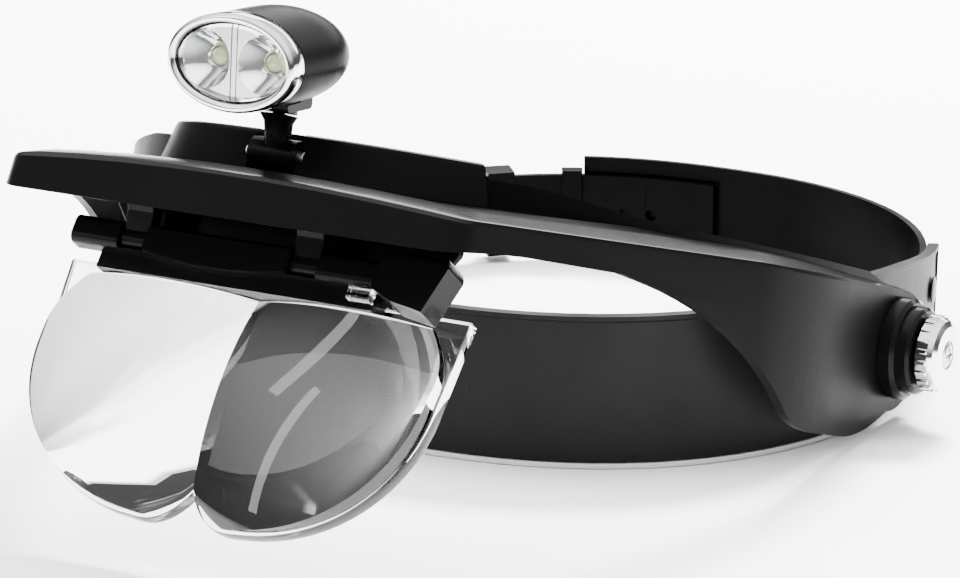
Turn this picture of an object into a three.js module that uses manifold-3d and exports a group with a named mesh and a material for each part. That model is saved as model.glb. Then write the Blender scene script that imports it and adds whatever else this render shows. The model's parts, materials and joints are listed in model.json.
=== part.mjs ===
// Head visor magnifier: a moulded visor carries a flip-down binocular lens and a small battery
// lamp, and hinges at the temples of an adjustable headband.
// Millimetres, +Z up. The wearer faces -Y, so +X is the wearer's left side.

import * as THREE from 'three';
import { mergeVertices } from 'three/addons/utils/BufferGeometryUtils.js';
import Module from 'manifold-3d';

const wasm = await Module();
wasm.setup();

// ---- Driving dimensions -------------------------------------------------------------------

const GAP = 0.3;                    // clearance between pieces that touch
const RUNNING_GAP = 0.4;            // clearance round pieces that turn or slide

// Headband, an oval ring round the head
const HEAD_HALF_WIDTH = 93.6;
const HEAD_FRONT = 92.3;
const HEAD_REAR = 96;
const HEAD_ROUNDNESS = 2.23;        // exponent of the oval: 2 is an ellipse
const BAND_WALL = 2.2;
const BAND_FRONT_TOP = 39.3;
const BAND_REAR_TOP = 33;
const BAND_END_ANGLE = 112;         // degrees from the forehead to the end of the band
const LIP_HEIGHT = 1.8;
const LIP_PROUD = 0.7;
const TRIM_HEIGHT = 1.2;
const TRIM_PROUD = 0.5;
const PAD_THICKNESS = 6;
const PAD_BOTTOM = 4;
const PAD_TOP = 36;
const PAD_END_ANGLE = 62;

// Rear strap in two overlapping lengths
const STRAP_WALL = 2;
const WIDE_STRAP_TOP = 30;
const WIDE_STRAP_START = 100;
const WIDE_STRAP_END = 205;
const NARROW_STRAP_BOTTOM = 3.5;
const NARROW_STRAP_TOP = 25.2;
const NARROW_STRAP_START = 181;
const NARROW_STRAP_END = 260;
const NARROW_STRAP_STEP_FROM = 228; // where the narrow strap steps in under the wide one
const NARROW_STRAP_STEP_TO = 245;
const STRAP_HOLE_RADIUS = 1.7;
const STRAP_HOLE_COUNT = 6;
const STRAP_HOLE_PITCH = 5;         // degrees round the ring
const GUIDE_WALL = 1.2;
const GUIDE_SPAN = 4;               // degrees
const LOCK_ANGLE = 221.8;
const LOCK_SPAN = 5.6;              // degrees
const LOCK_PROUD = 3.4;
const BUTTON_RADIUS = 2.4;
const BUTTON_TRAVEL = 1.5;
const RIVET_ANGLE = 106;
const RIVET_RADIUS = 2;
const RIVET_HEAD_RADIUS = 3.6;
const RIVET_HEAD = 0.8;
const RIVET_HEIGHTS = [10, 23];

// Temple pivots
const PIVOT_Y = -12;
const PIVOT_Z = 20;
const BOLT_RADIUS = 3;
const BOLT_HEAD_RADIUS = 6;
const BOLT_HEAD = 2.2;
const BUSH_RADIUS = 9;
const COLLAR_RADIUS = 13;
const COLLAR_DEPTH = 4.2;
const COLLAR_STEP_RADIUS = 11.2;
const COLLAR_STEP_DEPTH = 3.4;
const KNOB_RADIUS = 9.3;
const KNOB_DEPTH = 6;
const KNURL_COUNT = 20;
const KNURL_PROUD = 0.5;
const KNURL_HALF_WIDTH = 0.55;
const SCREW_RADIUS = 1.2;
const SCREW_HEAD_RADIUS = 3.4;
const SCREW_HEAD = 1.5;

// Visor: brim in front, an arm along each side
const VISOR_TILT = 19;              // degrees that the front is raised
const TEMPLE_SPACE = 3;             // between the band and the arm, filled by the bush
const ARM_WALL = 2.4;
const ARM_OUTER = HEAD_HALF_WIDTH + TEMPLE_SPACE + ARM_WALL;
const BRIM_TOP = 15;                // above the pivot, square to the brim
const BRIM_WALL = 2.4;
const BRIM_FRONT = 174;
const BRIM_BULGE = 5;
const BRIM_CORNER = 61;
const BRIM_CORNER_ROUND = 7;
const BRIM_DRAFT = 1.8;
const BRIM_EDGE_ROUND = 1.3;
const LEDGE_RISE = 1.6;             // how far the brim's top rises from its edge to the opening
const LEDGE_SPAN = 11;
const ARM_LEDGE_RISE = 2.6;         // how much further the ledge rises inwards along the arms
const ARM_LEDGE_FULL = 105;         // ahead of the pivot, where that extra rise starts to fade
const ARM_LEDGE_END = 160;
const CORNER_DROOP = 2.6;            // how far the brim's front corners hang below its middle
const ARM_BEND = 56;                // where the arm turns in towards the front corner
const SKIRT_FRONT = 4;
const SKIRT_SIDE = 6;
const LOBE_FRONT = 60;
const LOBE_BOTTOM = -24.3;
const LOBE_RADIUS = 16.5;
const OPENING_CLEARANCE = 1.4;      // between the headband's oval and the head opening at the sides
const OPENING_HALF_WIDTH = HEAD_HALF_WIDTH + OPENING_CLEARANCE;
const OPENING_FRONT = 138;
const RIM_WALL = 2;
const RIM_TOP = 17.6;               // at the pivot; the rim climbs from there to the crown
const RIM_KNEE = 100;               // ahead of the pivot, where the rim starts to climb faster
const RIM_KNEE_TOP = 19.6;
const RIM_FRONT_TOP = 23;
const RIM_CLIMB_START = 20;         // ahead of the pivot
const RIM_CLIMB_END = 15;           // behind the opening's front
const RIM_BOTTOM = 9;
const CROWN_HALF_WIDTH = 45.5;
const CROWN_TOP = 26.5;
const CROWN_FRONT = 155;
const CROWN_RADIUS = 54;
const CROWN_SLOPE = 2.4;
const NOTCH_HALF_WIDTH = 6.5;
const NOTCH_WALL = 2.6;
const NOTCH_FLOOR = 16.8;
const NOTCH_BACK = 145;

// Lens holder, hinged under the brim
const HINGE_Y = -151;
const HINGE_Z = -4;
const LENS_LEAN = 20.6;             // degrees that the lens leans forward of the visor's upright
const BAR_HALF_LENGTH = 51;
const BAR_HALF_HEIGHT = 3.6;
const BAR_FRONT = -3.8;
const BAR_BACK = 3.4;
const RAIL_HALF_LENGTH = 43;
const RAIL_BOTTOM = -8.2;
const RAIL_TOP = -2.6;
const RAIL_FRONT = -0.6;
const LUG_PLACES = [13, -34];
const LUG_HALF_WIDTH = 4;
const LUG_RADIUS = 3;
const LUG_STEM = 2;
const BRACKET_FRONT = 8;             // behind the hinge axis, clear of the end block as it turns
const BRACKET_WALL = 2.5;
const BRACKET_HALF_WIDTH = 47;
const BRACKET_BOTTOM = -5.5;
const BRACKET_END_RUN = 8;          // length of the sloped ends
const HINGE_PIN_RADIUS = 1.4;
const HINGE_PIN_LENGTH = 18;
const PANEL_DROP = 2;
const END_BLOCK_START = 33;
const END_BLOCK_TOP = 6.2;
const END_BLOCK_FRONT = -5;
const END_BLOCK_BACK = 4;
const TENON = 2.4;
const CLAMP_WALL = 2;
const CLAMP_SCREW_X = 24;
const CLAMP_SCREW_RADIUS = 0.8;

// Lens plate: one clear moulding with two domed lenses
const LENS_TOP = -4.6;
const LENS_BACK = 9.8;
const FLANGE = 3.6;
const LENS_HALF_WIDTH = 55;
const LENS_HEIGHT = 60.3;
const LENS_NOTCH = 8;
const TONGUE = 3.9;
const LOBE_OFFSET = 25;
const LOBE_DROP = 26.5;
const LOBE_EDGE_RADIUS = 36;
const LOBE_SPHERE = 70;
const LOBE_MARGIN = 0.9;
const LOBE_CORNER_WIDTH = 7;        // how the domes draw in from the top corners
const LOBE_CORNER_HEIGHT = 20;
const END_BLOCK_BOTTOM = LENS_TOP - TONGUE + GAP;
const CLAMP_SCREW_Z = (RAIL_TOP + LENS_TOP + GAP) / 2;

// Lamp
const FOOT_Y = -152;
const FOOT_Z = 21;
const FOOT_RADIUS = 3.8;
const FOOT_PIN_RADIUS = 1.5;
const STEM_WIDTH = 6;
const STEM_TOP_WIDTH = 8.6;
const PEG_RADIUS = 1.5;
const NECK_Y = -154;
const NECK_Z = 30.5;
const LAMP_DIP = 13.6;              // degrees that the beam points down from the brim
const LAMP_AXIS = 14.2;             // above the neck
const LAMP_FRONT = -23;
const LAMP_REAR = 15;
const LAMP_HALF_WIDTH = 17;
const LAMP_HALF_HEIGHT = 11.4;
const LAMP_WALL = 1.6;
const BEZEL_DEPTH = 5.5;
const BEZEL_PROUD = 0.1;
const BEZEL_RIM = 2.2;
const WINDOW_WALL = 1.4;
const WINDOW_SET_BACK = 1.2;
const REFLECTOR_DEPTH = 8.4;
const REFLECTOR_OFFSET = 7.4;
const DIVIDER_HALF_WALL = 0.6;
const LED_RADIUS = 2.2;
const BOARD_WALL = 1.2;
const CELL_RADIUS = 5.8;
const CELL_DEPTH = 3.4;
const CELL_COUNT = 3;
const SWITCH_RADIUS = 3.2;
const SWITCH_PROUD = 1.6;
const SPRING_WIRE = 0.4;

// ---- Finishes -----------------------------------------------------------------------------

const finish = (color, roughness, metalness = 0) => ({ color, roughness, metalness });
const SATIN_BLACK = finish(0x252527, 0.5);
const GLOSS_BLACK = finish(0x101011, 0.25);
const DARK_GREY = finish(0x4a4a4c, 0.42);
const FOAM_GREY = finish(0x3a3a3c, 0.95);
const PALE_TRIM = finish(0xdcdcda, 0.6);
const CHROME = finish(0xe6e8ea, 0.08, 1);
const STEEL = finish(0xa9abad, 0.35, 1);
const CLEAR = finish(0xf2f6f7, 0.05);
const LED_YELLOW = finish(0xe6dc78, 0.3);
const BOARD_GREEN = finish(0x1f5a37, 0.6);

// ---- Geometry helpers ---------------------------------------------------------------------

const radians = THREE.MathUtils.degToRad;
const root = new THREE.Group();

function asSolid(shape) {
  if (!shape.isBufferGeometry) return shape;
  const bare = shape.clone();
  bare.deleteAttribute('normal');
  bare.deleteAttribute('uv');
  const merged = mergeVertices(bare, 1e-4);
  const vertProperties = new Float32Array(merged.attributes.position.array);
  const triVerts = new Uint32Array(merged.index.array);
  return new wasm.Manifold(new wasm.Mesh({ numProp: 3, vertProperties, triVerts }));
}

function asGeometry(shape) {
  if (shape.isBufferGeometry) return shape;
  const mesh = shape.getMesh();
  const geometry = new THREE.BufferGeometry();
  geometry.setAttribute('position', new THREE.BufferAttribute(mesh.vertProperties, 3));
  geometry.setIndex(new THREE.BufferAttribute(mesh.triVerts, 1));
  geometry.computeVertexNormals();
  return geometry;
}

const join = (first, ...rest) => rest.reduce((all, next) => all.add(asSolid(next)), asSolid(first));
const cut = (body, ...tools) => tools.reduce((all, tool) => all.subtract(asSolid(tool)), asSolid(body));
const keep = (body, region) => asSolid(body).intersect(asSolid(region));

function addPart(name, shape, look, parent) {
  const material = new THREE.MeshStandardMaterial(look);
  const mesh = new THREE.Mesh(asGeometry(shape), material);
  mesh.name = name;
  parent.add(mesh);
  return mesh;
}

// A box between two corners
function box(x0, x1, y0, y1, z0, z1) {
  const geometry = new THREE.BoxGeometry(x1 - x0, y1 - y0, z1 - z0);
  return geometry.translate((x0 + x1) / 2, (y0 + y1) / 2, (z0 + z1) / 2);
}

// A flat shape in X and Y, raised from z0 to z1
function slab(shape, z0, z1, curveSegments = 12) {
  const options = { depth: z1 - z0, bevelEnabled: false, curveSegments };
  return new THREE.ExtrudeGeometry(shape, options).translate(0, 0, z0);
}

// A side view drawn in Y and Z, extended from x0 to x1
function sideSlab(shape, x0, x1, curveSegments = 12) {
  const turn = new THREE.Matrix4().makeBasis(
    new THREE.Vector3(0, 1, 0),
    new THREE.Vector3(0, 0, 1),
    new THREE.Vector3(1, 0, 0),
  );
  return slab(shape, x0, x1, curveSegments).applyMatrix4(turn);
}

// A front view drawn in X and Z, extended from y0 to y1
function frontSlab(shape, y0, y1, curveSegments = 12) {
  return slab(shape, -y1, -y0, curveSegments).rotateX(Math.PI / 2);
}

// A block with its long edges rounded, running along X
function roundedBar(x0, x1, y0, y1, z0, z1, radius) {
  const shape = new THREE.Shape();
  roundedRectangle(shape, y0, y1, z0, z1, radius);
  return sideSlab(shape, x0, x1, 4);
}

function roundedRectangle(shape, u0, u1, v0, v1, radius) {
  shape.moveTo(u0 + radius, v0);
  shape.lineTo(u1 - radius, v0);
  shape.absarc(u1 - radius, v0 + radius, radius, -Math.PI / 2, 0);
  shape.lineTo(u1, v1 - radius);
  shape.absarc(u1 - radius, v1 - radius, radius, 0, Math.PI / 2);
  shape.lineTo(u0 + radius, v1);
  shape.absarc(u0 + radius, v1 - radius, radius, Math.PI / 2, Math.PI);
  shape.lineTo(u0, v0 + radius);
  shape.absarc(u0 + radius, v0 + radius, radius, Math.PI, 1.5 * Math.PI);
}

// A body turned about the X axis, from [radius, x] pairs
function turnedX(profile, segments = 24) {
  const points = profile.map(([radius, x]) => new THREE.Vector2(radius, x));
  return new THREE.LatheGeometry(points, segments).rotateZ(-Math.PI / 2);
}

function pin(radius, x0, x1, segments = 16) {
  return turnedX([[0, x0], [radius, x0], [radius, x1], [0, x1]], segments);
}

function washer(bore, radius, x0, x1, segments = 24) {
  return turnedX([[bore, x0], [radius, x0], [radius, x1], [bore, x1], [bore, x0]], segments);
}

// A solid through matching closed outlines, with a flat cap at each end
function loft(rings) {
  const size = rings[0].length;
  const centre = (ring) => ring.reduce((sum, p) => sum.add(p), new THREE.Vector3()).divideScalar(size);
  const points = [...rings.flat(), centre(rings[0]), centre(rings[rings.length - 1])];
  const faces = [];
  for (let ring = 0; ring < rings.length - 1; ring += 1) {
    for (let i = 0; i < size; i += 1) {
      const a = ring * size + i;
      const b = ring * size + ((i + 1) % size);
      faces.push(a, b, b + size, a, b + size, a + size);
    }
  }
  const last = (rings.length - 1) * size;
  for (let i = 0; i < size; i += 1) {
    const next = (i + 1) % size;
    faces.push(next, i, points.length - 2, last + i, last + next, points.length - 1);
  }
  const geometry = new THREE.BufferGeometry().setFromPoints(points);
  geometry.setIndex(signedVolume(points, faces) < 0 ? faces.reverse() : faces);
  return geometry;
}

function signedVolume(points, faces) {
  let volume = 0;
  for (let i = 0; i < faces.length; i += 3) {
    const [a, b, c] = [points[faces[i]], points[faces[i + 1]], points[faces[i + 2]]];
    volume += a.dot(new THREE.Vector3().crossVectors(b, c));
  }
  return volume;
}

// ---- Headband ring ------------------------------------------------------------------------

const signedPower = (value, power) => Math.sign(value) * Math.abs(value) ** power;

// A point on the oval, at an angle in degrees from the forehead towards the wearer's left
function ringPoint(angle, inset) {
  const side = Math.sin(radians(angle));
  const ahead = Math.cos(radians(angle));
  const length = ahead > 0 ? HEAD_FRONT : HEAD_REAR;
  const x = (HEAD_HALF_WIDTH - inset) * signedPower(side, 2 / HEAD_ROUNDNESS);
  const y = -(length - inset) * signedPower(ahead, 2 / HEAD_ROUNDNESS);
  return new THREE.Vector3(x, y, 0);
}

// A wall that follows the oval, with a cross-section of [inset, height] pairs
function ringWall(from, to, steps, section) {
  const rings = [];
  for (let step = 0; step <= steps; step += 1) {
    const angle = from + ((to - from) * step) / steps;
    const ring = section(angle).map(([inset, z]) => ringPoint(angle, inset).setZ(z));
    rings.push(ring);
  }
  return loft(rings);
}

// Lays a body turned about X so that its axis points out of the oval at an angle and height
function onRing(geometry, angle, height) {
  const before = ringPoint(angle - 1, 0);
  const after = ringPoint(angle + 1, 0);
  const along = after.sub(before).normalize();
  const out = new THREE.Vector3(along.y, -along.x, 0).multiplyScalar(-1);
  if (out.dot(ringPoint(angle, 0)) < 0) out.negate();
  const side = new THREE.Vector3(0, 0, 1).cross(out);
  const turn = new THREE.Matrix4().makeBasis(out, side, new THREE.Vector3(0, 0, 1));
  turn.setPosition(ringPoint(angle, 0).setZ(height));
  return geometry.applyMatrix4(turn);
}

// Half width of the oval at a place along Y
function ringHalfWidth(y, inset) {
  const length = (y < 0 ? HEAD_FRONT : HEAD_REAR) - inset;
  return (HEAD_HALF_WIDTH - inset) * (1 - Math.abs(y / length) ** HEAD_ROUNDNESS) ** (1 / HEAD_ROUNDNESS);
}

const smooth = (value, from, to) => THREE.MathUtils.smoothstep(value, from, to);

function bandTop(angle) {
  const share = smooth(Math.abs(angle), 78, BAND_END_ANGLE);
  return BAND_FRONT_TOP + (BAND_REAR_TOP - BAND_FRONT_TOP) * share;
}

const STRAP_INSET = BAND_WALL + GAP;
const NARROW_INSET = STRAP_INSET + STRAP_WALL + GAP;
const ARM_INNER = ARM_OUTER - ARM_WALL;

// Outer face of the narrow strap: behind the band at the temple, behind the wide strap at the back
function narrowInset(angle) {
  const share = smooth(angle, NARROW_STRAP_STEP_FROM, NARROW_STRAP_STEP_TO);
  return NARROW_INSET + (STRAP_INSET - NARROW_INSET) * share;
}

function sides(build) {
  for (const [name, sign] of [['left', 1], ['right', -1]]) build(name, sign);
}

// Turns a body made for the wearer's left to the other side, about the pivot's own axis line
function atPivot(geometry, sign) {
  if (sign < 0) geometry.rotateZ(Math.PI);
  return geometry.translate(0, PIVOT_Y, PIVOT_Z);
}

function addHeadband(parent) {
  const bandBottom = TRIM_HEIGHT + GAP;
  const band = ringWall(-BAND_END_ANGLE, BAND_END_ANGLE, 46, (angle) => {
    const top = bandTop(angle);
    return [
      [BAND_WALL, bandBottom],
      [0, bandBottom],
      [0, top - LIP_HEIGHT],
      [-LIP_PROUD, top - LIP_HEIGHT + LIP_PROUD],
      [-LIP_PROUD, top],
      [BAND_WALL, top],
    ];
  });
  const pivotHole = pin(BOLT_RADIUS + GAP, -2 * HEAD_HALF_WIDTH, 2 * HEAD_HALF_WIDTH);
  const holes = [pivotHole.translate(0, PIVOT_Y, PIVOT_Z)];
  sides((name, sign) => {
    for (const height of RIVET_HEIGHTS) holes.push(rivetHole(sign, height));
  });
  addPart('forehead_band', cut(band, ...holes), SATIN_BLACK, parent);
  const trim = ringWall(-BAND_END_ANGLE, BAND_END_ANGLE, 46, () => [
    [BAND_WALL, 0],
    [-TRIM_PROUD, 0],
    [-TRIM_PROUD, TRIM_HEIGHT],
    [BAND_WALL, TRIM_HEIGHT],
  ]);
  addPart('band_edge_trim', trim, PALE_TRIM, parent);
  const padFace = BAND_WALL + GAP;
  const pad = ringWall(-PAD_END_ANGLE, PAD_END_ANGLE, 24, () => [
    [padFace, PAD_BOTTOM],
    [padFace, PAD_TOP],
    [padFace + PAD_THICKNESS, PAD_TOP - 2],
    [padFace + PAD_THICKNESS, PAD_BOTTOM + 2],
  ]);
  addPart('forehead_pad', pad, FOAM_GREY, parent);
}

function rivetHole(sign, height) {
  const hole = pin(RIVET_RADIUS + GAP, -4 * BAND_WALL, BAND_WALL, 10);
  return onRing(hole, sign * RIVET_ANGLE, height);
}

function addRivets(parent) {
  const inside = -(STRAP_INSET + STRAP_WALL + GAP);
  sides((name, sign) => {
    RIVET_HEIGHTS.forEach((height, index) => {
      const rivet = turnedX([
        [0, inside - RIVET_HEAD],
        [RIVET_HEAD_RADIUS * 0.7, inside - RIVET_HEAD],
        [RIVET_HEAD_RADIUS, inside - RIVET_HEAD / 2],
        [RIVET_HEAD_RADIUS, inside],
        [RIVET_RADIUS, inside],
        [RIVET_RADIUS, GAP],
        [RIVET_HEAD_RADIUS, GAP],
        [RIVET_HEAD_RADIUS, GAP + RIVET_HEAD / 2],
        [RIVET_HEAD_RADIUS * 0.7, GAP + RIVET_HEAD],
        [0, GAP + RIVET_HEAD],
      ], 10);
      const place = onRing(rivet, sign * RIVET_ANGLE, height);
      addPart(`strap_rivet_${name}_${index + 1}`, place, GLOSS_BLACK, parent);
    });
  });
}

function addRearStrap(parent) {
  const wide = ringWall(WIDE_STRAP_START, WIDE_STRAP_END, 28, () => [
    [STRAP_INSET + STRAP_WALL, 0],
    [STRAP_INSET, 0],
    [STRAP_INSET, WIDE_STRAP_TOP],
    [STRAP_INSET + STRAP_WALL, WIDE_STRAP_TOP],
  ]);
  const leftHoles = RIVET_HEIGHTS.map((height) => rivetHole(1, height));
  addPart('rear_strap_wide', cut(wide, ...leftHoles), SATIN_BLACK, parent);

  const narrow = ringWall(NARROW_STRAP_START, NARROW_STRAP_END, 26, (angle) => {
    const face = narrowInset(angle);
    return [
      [face + STRAP_WALL, NARROW_STRAP_BOTTOM],
      [face, NARROW_STRAP_BOTTOM],
      [face, NARROW_STRAP_TOP],
      [face + STRAP_WALL, NARROW_STRAP_TOP],
    ];
  });
  const middle = (NARROW_STRAP_BOTTOM + NARROW_STRAP_TOP) / 2;
  const sizeHoles = [];
  for (let i = 0; i < STRAP_HOLE_COUNT; i += 1) {
    const hole = pin(STRAP_HOLE_RADIUS, -4 * NARROW_INSET, NARROW_INSET, 8);
    sizeHoles.push(onRing(hole, LOCK_ANGLE - (i + 1) * STRAP_HOLE_PITCH, middle));
  }
  const rightHoles = RIVET_HEIGHTS.map((height) => rivetHole(-1, height));
  const buttonHole = pin(BUTTON_RADIUS + RUNNING_GAP, -4 * NARROW_INSET, NARROW_INSET, 16);
  const lockHole = onRing(buttonHole, LOCK_ANGLE, middle);
  addPart('rear_strap_narrow', cut(narrow, ...sizeHoles, ...rightHoles, lockHole), SATIN_BLACK, parent);
  addStrapLoops(parent, middle);
}

// A closed loop of the strap guide kind, which the narrow strap passes through
function strapLoop(from, to, proud) {
  const inner = NARROW_INSET - GAP;
  const outer = NARROW_INSET + STRAP_WALL + GAP;
  const block = ringWall(from, to, 4, () => [
    [outer + GUIDE_WALL, NARROW_STRAP_BOTTOM - GUIDE_WALL - GAP],
    [inner - GUIDE_WALL - proud, NARROW_STRAP_BOTTOM - GUIDE_WALL - GAP],
    [inner - GUIDE_WALL - proud, NARROW_STRAP_TOP + GUIDE_WALL + GAP],
    [outer + GUIDE_WALL, NARROW_STRAP_TOP + GUIDE_WALL + GAP],
  ]);
  const slot = ringWall(from - 2, to + 2, 8, () => [
    [outer, NARROW_STRAP_BOTTOM - GAP],
    [inner, NARROW_STRAP_BOTTOM - GAP],
    [inner, NARROW_STRAP_TOP + GAP],
    [outer, NARROW_STRAP_TOP + GAP],
  ]);
  return cut(block, slot);
}

function addStrapLoops(parent, middle) {
  const guideStart = WIDE_STRAP_END + 0.3;
  addPart('strap_guide_loop', strapLoop(guideStart, guideStart + GUIDE_SPAN, 0), SATIN_BLACK, parent);

  const from = LOCK_ANGLE - LOCK_SPAN / 2;
  const housing = strapLoop(from, from + LOCK_SPAN, LOCK_PROUD);
  const outerFace = -(NARROW_INSET - GAP - GUIDE_WALL - LOCK_PROUD);
  const strapFace = -NARROW_INSET;
  const bore = onRing(pin(BUTTON_RADIUS + RUNNING_GAP, strapFace - 1, outerFace + 9, 24), LOCK_ANGLE, middle);
  const well = onRing(pin(BUTTON_RADIUS + 1.4, strapFace - 1, outerFace - 1.2, 24), LOCK_ANGLE, middle);
  addPart('size_lock_housing', cut(housing, bore, well), SATIN_BLACK, parent);

  const tip = -(NARROW_INSET + STRAP_WALL) + BUTTON_TRAVEL + GAP;
  const button = turnedX([
    [0, tip],
    [STRAP_HOLE_RADIUS * 0.7, tip],
    [STRAP_HOLE_RADIUS * 0.7, tip + 0.8],
    [BUTTON_RADIUS, tip + 1.4],
    [BUTTON_RADIUS, outerFace + BUTTON_TRAVEL],
    [BUTTON_RADIUS * 0.8, outerFace + BUTTON_TRAVEL + 0.5],
    [0, outerFace + BUTTON_TRAVEL + 0.7],
  ], 24);
  addPart('size_lock_button', onRing(button, LOCK_ANGLE, middle), GLOSS_BLACK, parent);

  const springStart = strapFace + 0.6;
  const springEnd = outerFace - 1.6;
  const coil = helix(BUTTON_RADIUS + 0.85, springStart, springEnd, 2.5, 0.25);
  addPart('size_lock_spring', onRing(coil, LOCK_ANGLE, middle), STEEL, parent);
}

// A coil of round wire about the X axis
function helix(radius, x0, x1, turns, wire) {
  class CoilPath extends THREE.Curve {
    getPoint(share, target = new THREE.Vector3()) {
      const angle = share * turns * 2 * Math.PI;
      return target.set(x0 + (x1 - x0) * share, radius * Math.cos(angle), radius * Math.sin(angle));
    }
  }
  const section = new THREE.Shape().absarc(0, 0, wire, 0, 2 * Math.PI);
  const options = { steps: Math.round(turns * 10), extrudePath: new CoilPath(), curveSegments: 3 };
  return new THREE.ExtrudeGeometry(section, options);
}

// ---- Temple pivots ------------------------------------------------------------------------

const BUSH_START = HEAD_HALF_WIDTH + GAP;
const BUSH_END = ARM_INNER - GAP;
const COLLAR_START = ARM_OUTER + GAP;
const COLLAR_END = COLLAR_START + COLLAR_DEPTH + COLLAR_STEP_DEPTH;
const KNOB_START = COLLAR_END + GAP;
const KNOB_END = KNOB_START + KNOB_DEPTH;
const BOLT_END = KNOB_START + KNOB_DEPTH / 2 - GAP;

function addPivotFittings(parent) {
  const boltHeadFace = ringHalfWidth(PIVOT_Y - BOLT_HEAD_RADIUS, BAND_WALL) - GAP;
  sides((name, sign) => {
    const bolt = turnedX([
      [0, boltHeadFace - BOLT_HEAD],
      [BOLT_HEAD_RADIUS * 0.8, boltHeadFace - BOLT_HEAD],
      [BOLT_HEAD_RADIUS, boltHeadFace - BOLT_HEAD / 2],
      [BOLT_HEAD_RADIUS, boltHeadFace],
      [BOLT_RADIUS, boltHeadFace],
      [BOLT_RADIUS, BOLT_END],
      [0, BOLT_END],
    ], 16);
    addPart(`pivot_bolt_${name}`, atPivot(bolt, sign), STEEL, parent);
    const bush = washer(BOLT_RADIUS + GAP, BUSH_RADIUS, BUSH_START, BUSH_END, 20);
    addPart(`temple_bush_${name}`, atPivot(bush, sign), GLOSS_BLACK, parent);
  });
}

function addKnobs(parent) {
  const bore = BOLT_RADIUS + GAP;
  const counterbore = KNOB_END - SCREW_HEAD + 0.3;
  sides((name, sign) => {
    const body = turnedX([
      [bore, KNOB_START],
      [KNOB_RADIUS - 0.8, KNOB_START],
      [KNOB_RADIUS, KNOB_START + 0.8],
      [KNOB_RADIUS, KNOB_END - 2],
      [KNOB_RADIUS - 0.6, KNOB_END - 0.8],
      [KNOB_RADIUS - 2, KNOB_END],
      [SCREW_HEAD_RADIUS + GAP, KNOB_END],
      [SCREW_HEAD_RADIUS + GAP, counterbore],
      [SCREW_RADIUS + GAP, counterbore],
      [SCREW_RADIUS + GAP, BOLT_END + GAP],
      [bore, BOLT_END + GAP],
      [bore, KNOB_START],
    ], KNURL_COUNT);
    const ridges = [];
    for (let i = 0; i < KNURL_COUNT; i += 1) {
      const ridge = box(
        KNOB_START + 1, KNOB_END - 2.2, -KNURL_HALF_WIDTH, KNURL_HALF_WIDTH,
        KNOB_RADIUS - 1.4, KNOB_RADIUS + KNURL_PROUD,
      );
      ridges.push(ridge.rotateX((2 * Math.PI * i) / KNURL_COUNT));
    }
    const knob = asGeometry(join(body, ...ridges));
    addPart(`tension_knob_${name}`, atPivot(knob, sign), CHROME, parent);

    const headStart = counterbore + GAP;
    const head = turnedX([
      [0, BOLT_END + GAP],
      [SCREW_RADIUS, BOLT_END + GAP],
      [SCREW_RADIUS, headStart],
      [SCREW_HEAD_RADIUS, headStart],
      [SCREW_HEAD_RADIUS, headStart + 0.7],
      [SCREW_HEAD_RADIUS * 0.7, headStart + SCREW_HEAD * 0.8],
      [0, headStart + SCREW_HEAD],
    ], 14);
    const slot = [headStart + SCREW_HEAD * 0.45, headStart + 2 * SCREW_HEAD];
    const across = box(...slot, -0.4, 0.4, -1.9, 1.9);
    const upright = box(...slot, -1.9, 1.9, -0.4, 0.4);
    const screw = asGeometry(cut(head, across, upright));
    addPart(`knob_screw_${name}`, atPivot(screw, sign), STEEL, parent);
  });
}

// ---- Visor --------------------------------------------------------------------------------

// Plan of the visor at one level: straight arms, sides running in to the front corners, a bowed front
function visorPlan(inset, setBack) {
  const arm = ARM_OUTER - inset;
  const front = BRIM_FRONT - setBack - inset;
  const corner = BRIM_CORNER - inset * 0.7 - setBack * 0.35;
  const shape = new THREE.Shape();
  const slope = new THREE.Vector2(corner - arm, ARM_BEND - front).normalize();
  const sideEnd = new THREE.Vector2(corner, -front).addScaledVector(slope, -BRIM_CORNER_ROUND);
  const bendEnd = new THREE.Vector2(arm, -ARM_BEND).addScaledVector(slope, 20);
  const rear = LOBE_RADIUS + 8;
  const frontStart = corner - BRIM_CORNER_ROUND;
  shape.moveTo(-arm, rear);
  shape.lineTo(arm, rear);
  shape.lineTo(arm, -ARM_BEND + 20);
  shape.quadraticCurveTo(arm, -ARM_BEND, bendEnd.x, bendEnd.y);
  shape.lineTo(sideEnd.x, sideEnd.y);
  shape.quadraticCurveTo(corner, -front, frontStart, -front - 1);
  shape.quadraticCurveTo(0, -front - 2 * BRIM_BULGE, -frontStart, -front - 1);
  shape.quadraticCurveTo(-corner, -front, -sideEnd.x, sideEnd.y);
  shape.lineTo(-bendEnd.x, bendEnd.y);
  shape.quadraticCurveTo(-arm, -ARM_BEND, -arm, -ARM_BEND + 20);
  return shape;
}

// A body through plans of the visor at rising levels, each [height, inset, setBack]
function visorBody(levels) {
  const droop = (x, y) => CORNER_DROOP * Math.min(1, (x / BRIM_CORNER) ** 2) * smooth(-y, 90, BRIM_FRONT);
  const alongArm = (y) => ARM_LEDGE_RISE * (1 - smooth(-y, ARM_LEDGE_FULL, ARM_LEDGE_END));
  return loft(levels.map(([z, inset, setBack]) => {
    const inwards = Math.min(1, Math.max(0, inset - BRIM_EDGE_ROUND) / LEDGE_SPAN);
    return visorPlan(inset, setBack).getPoints(8).map(({ x, y }) => (
      new THREE.Vector3(x, y, z - droop(x, y) + inwards * alongArm(y))
    ));
  }));
}

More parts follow.
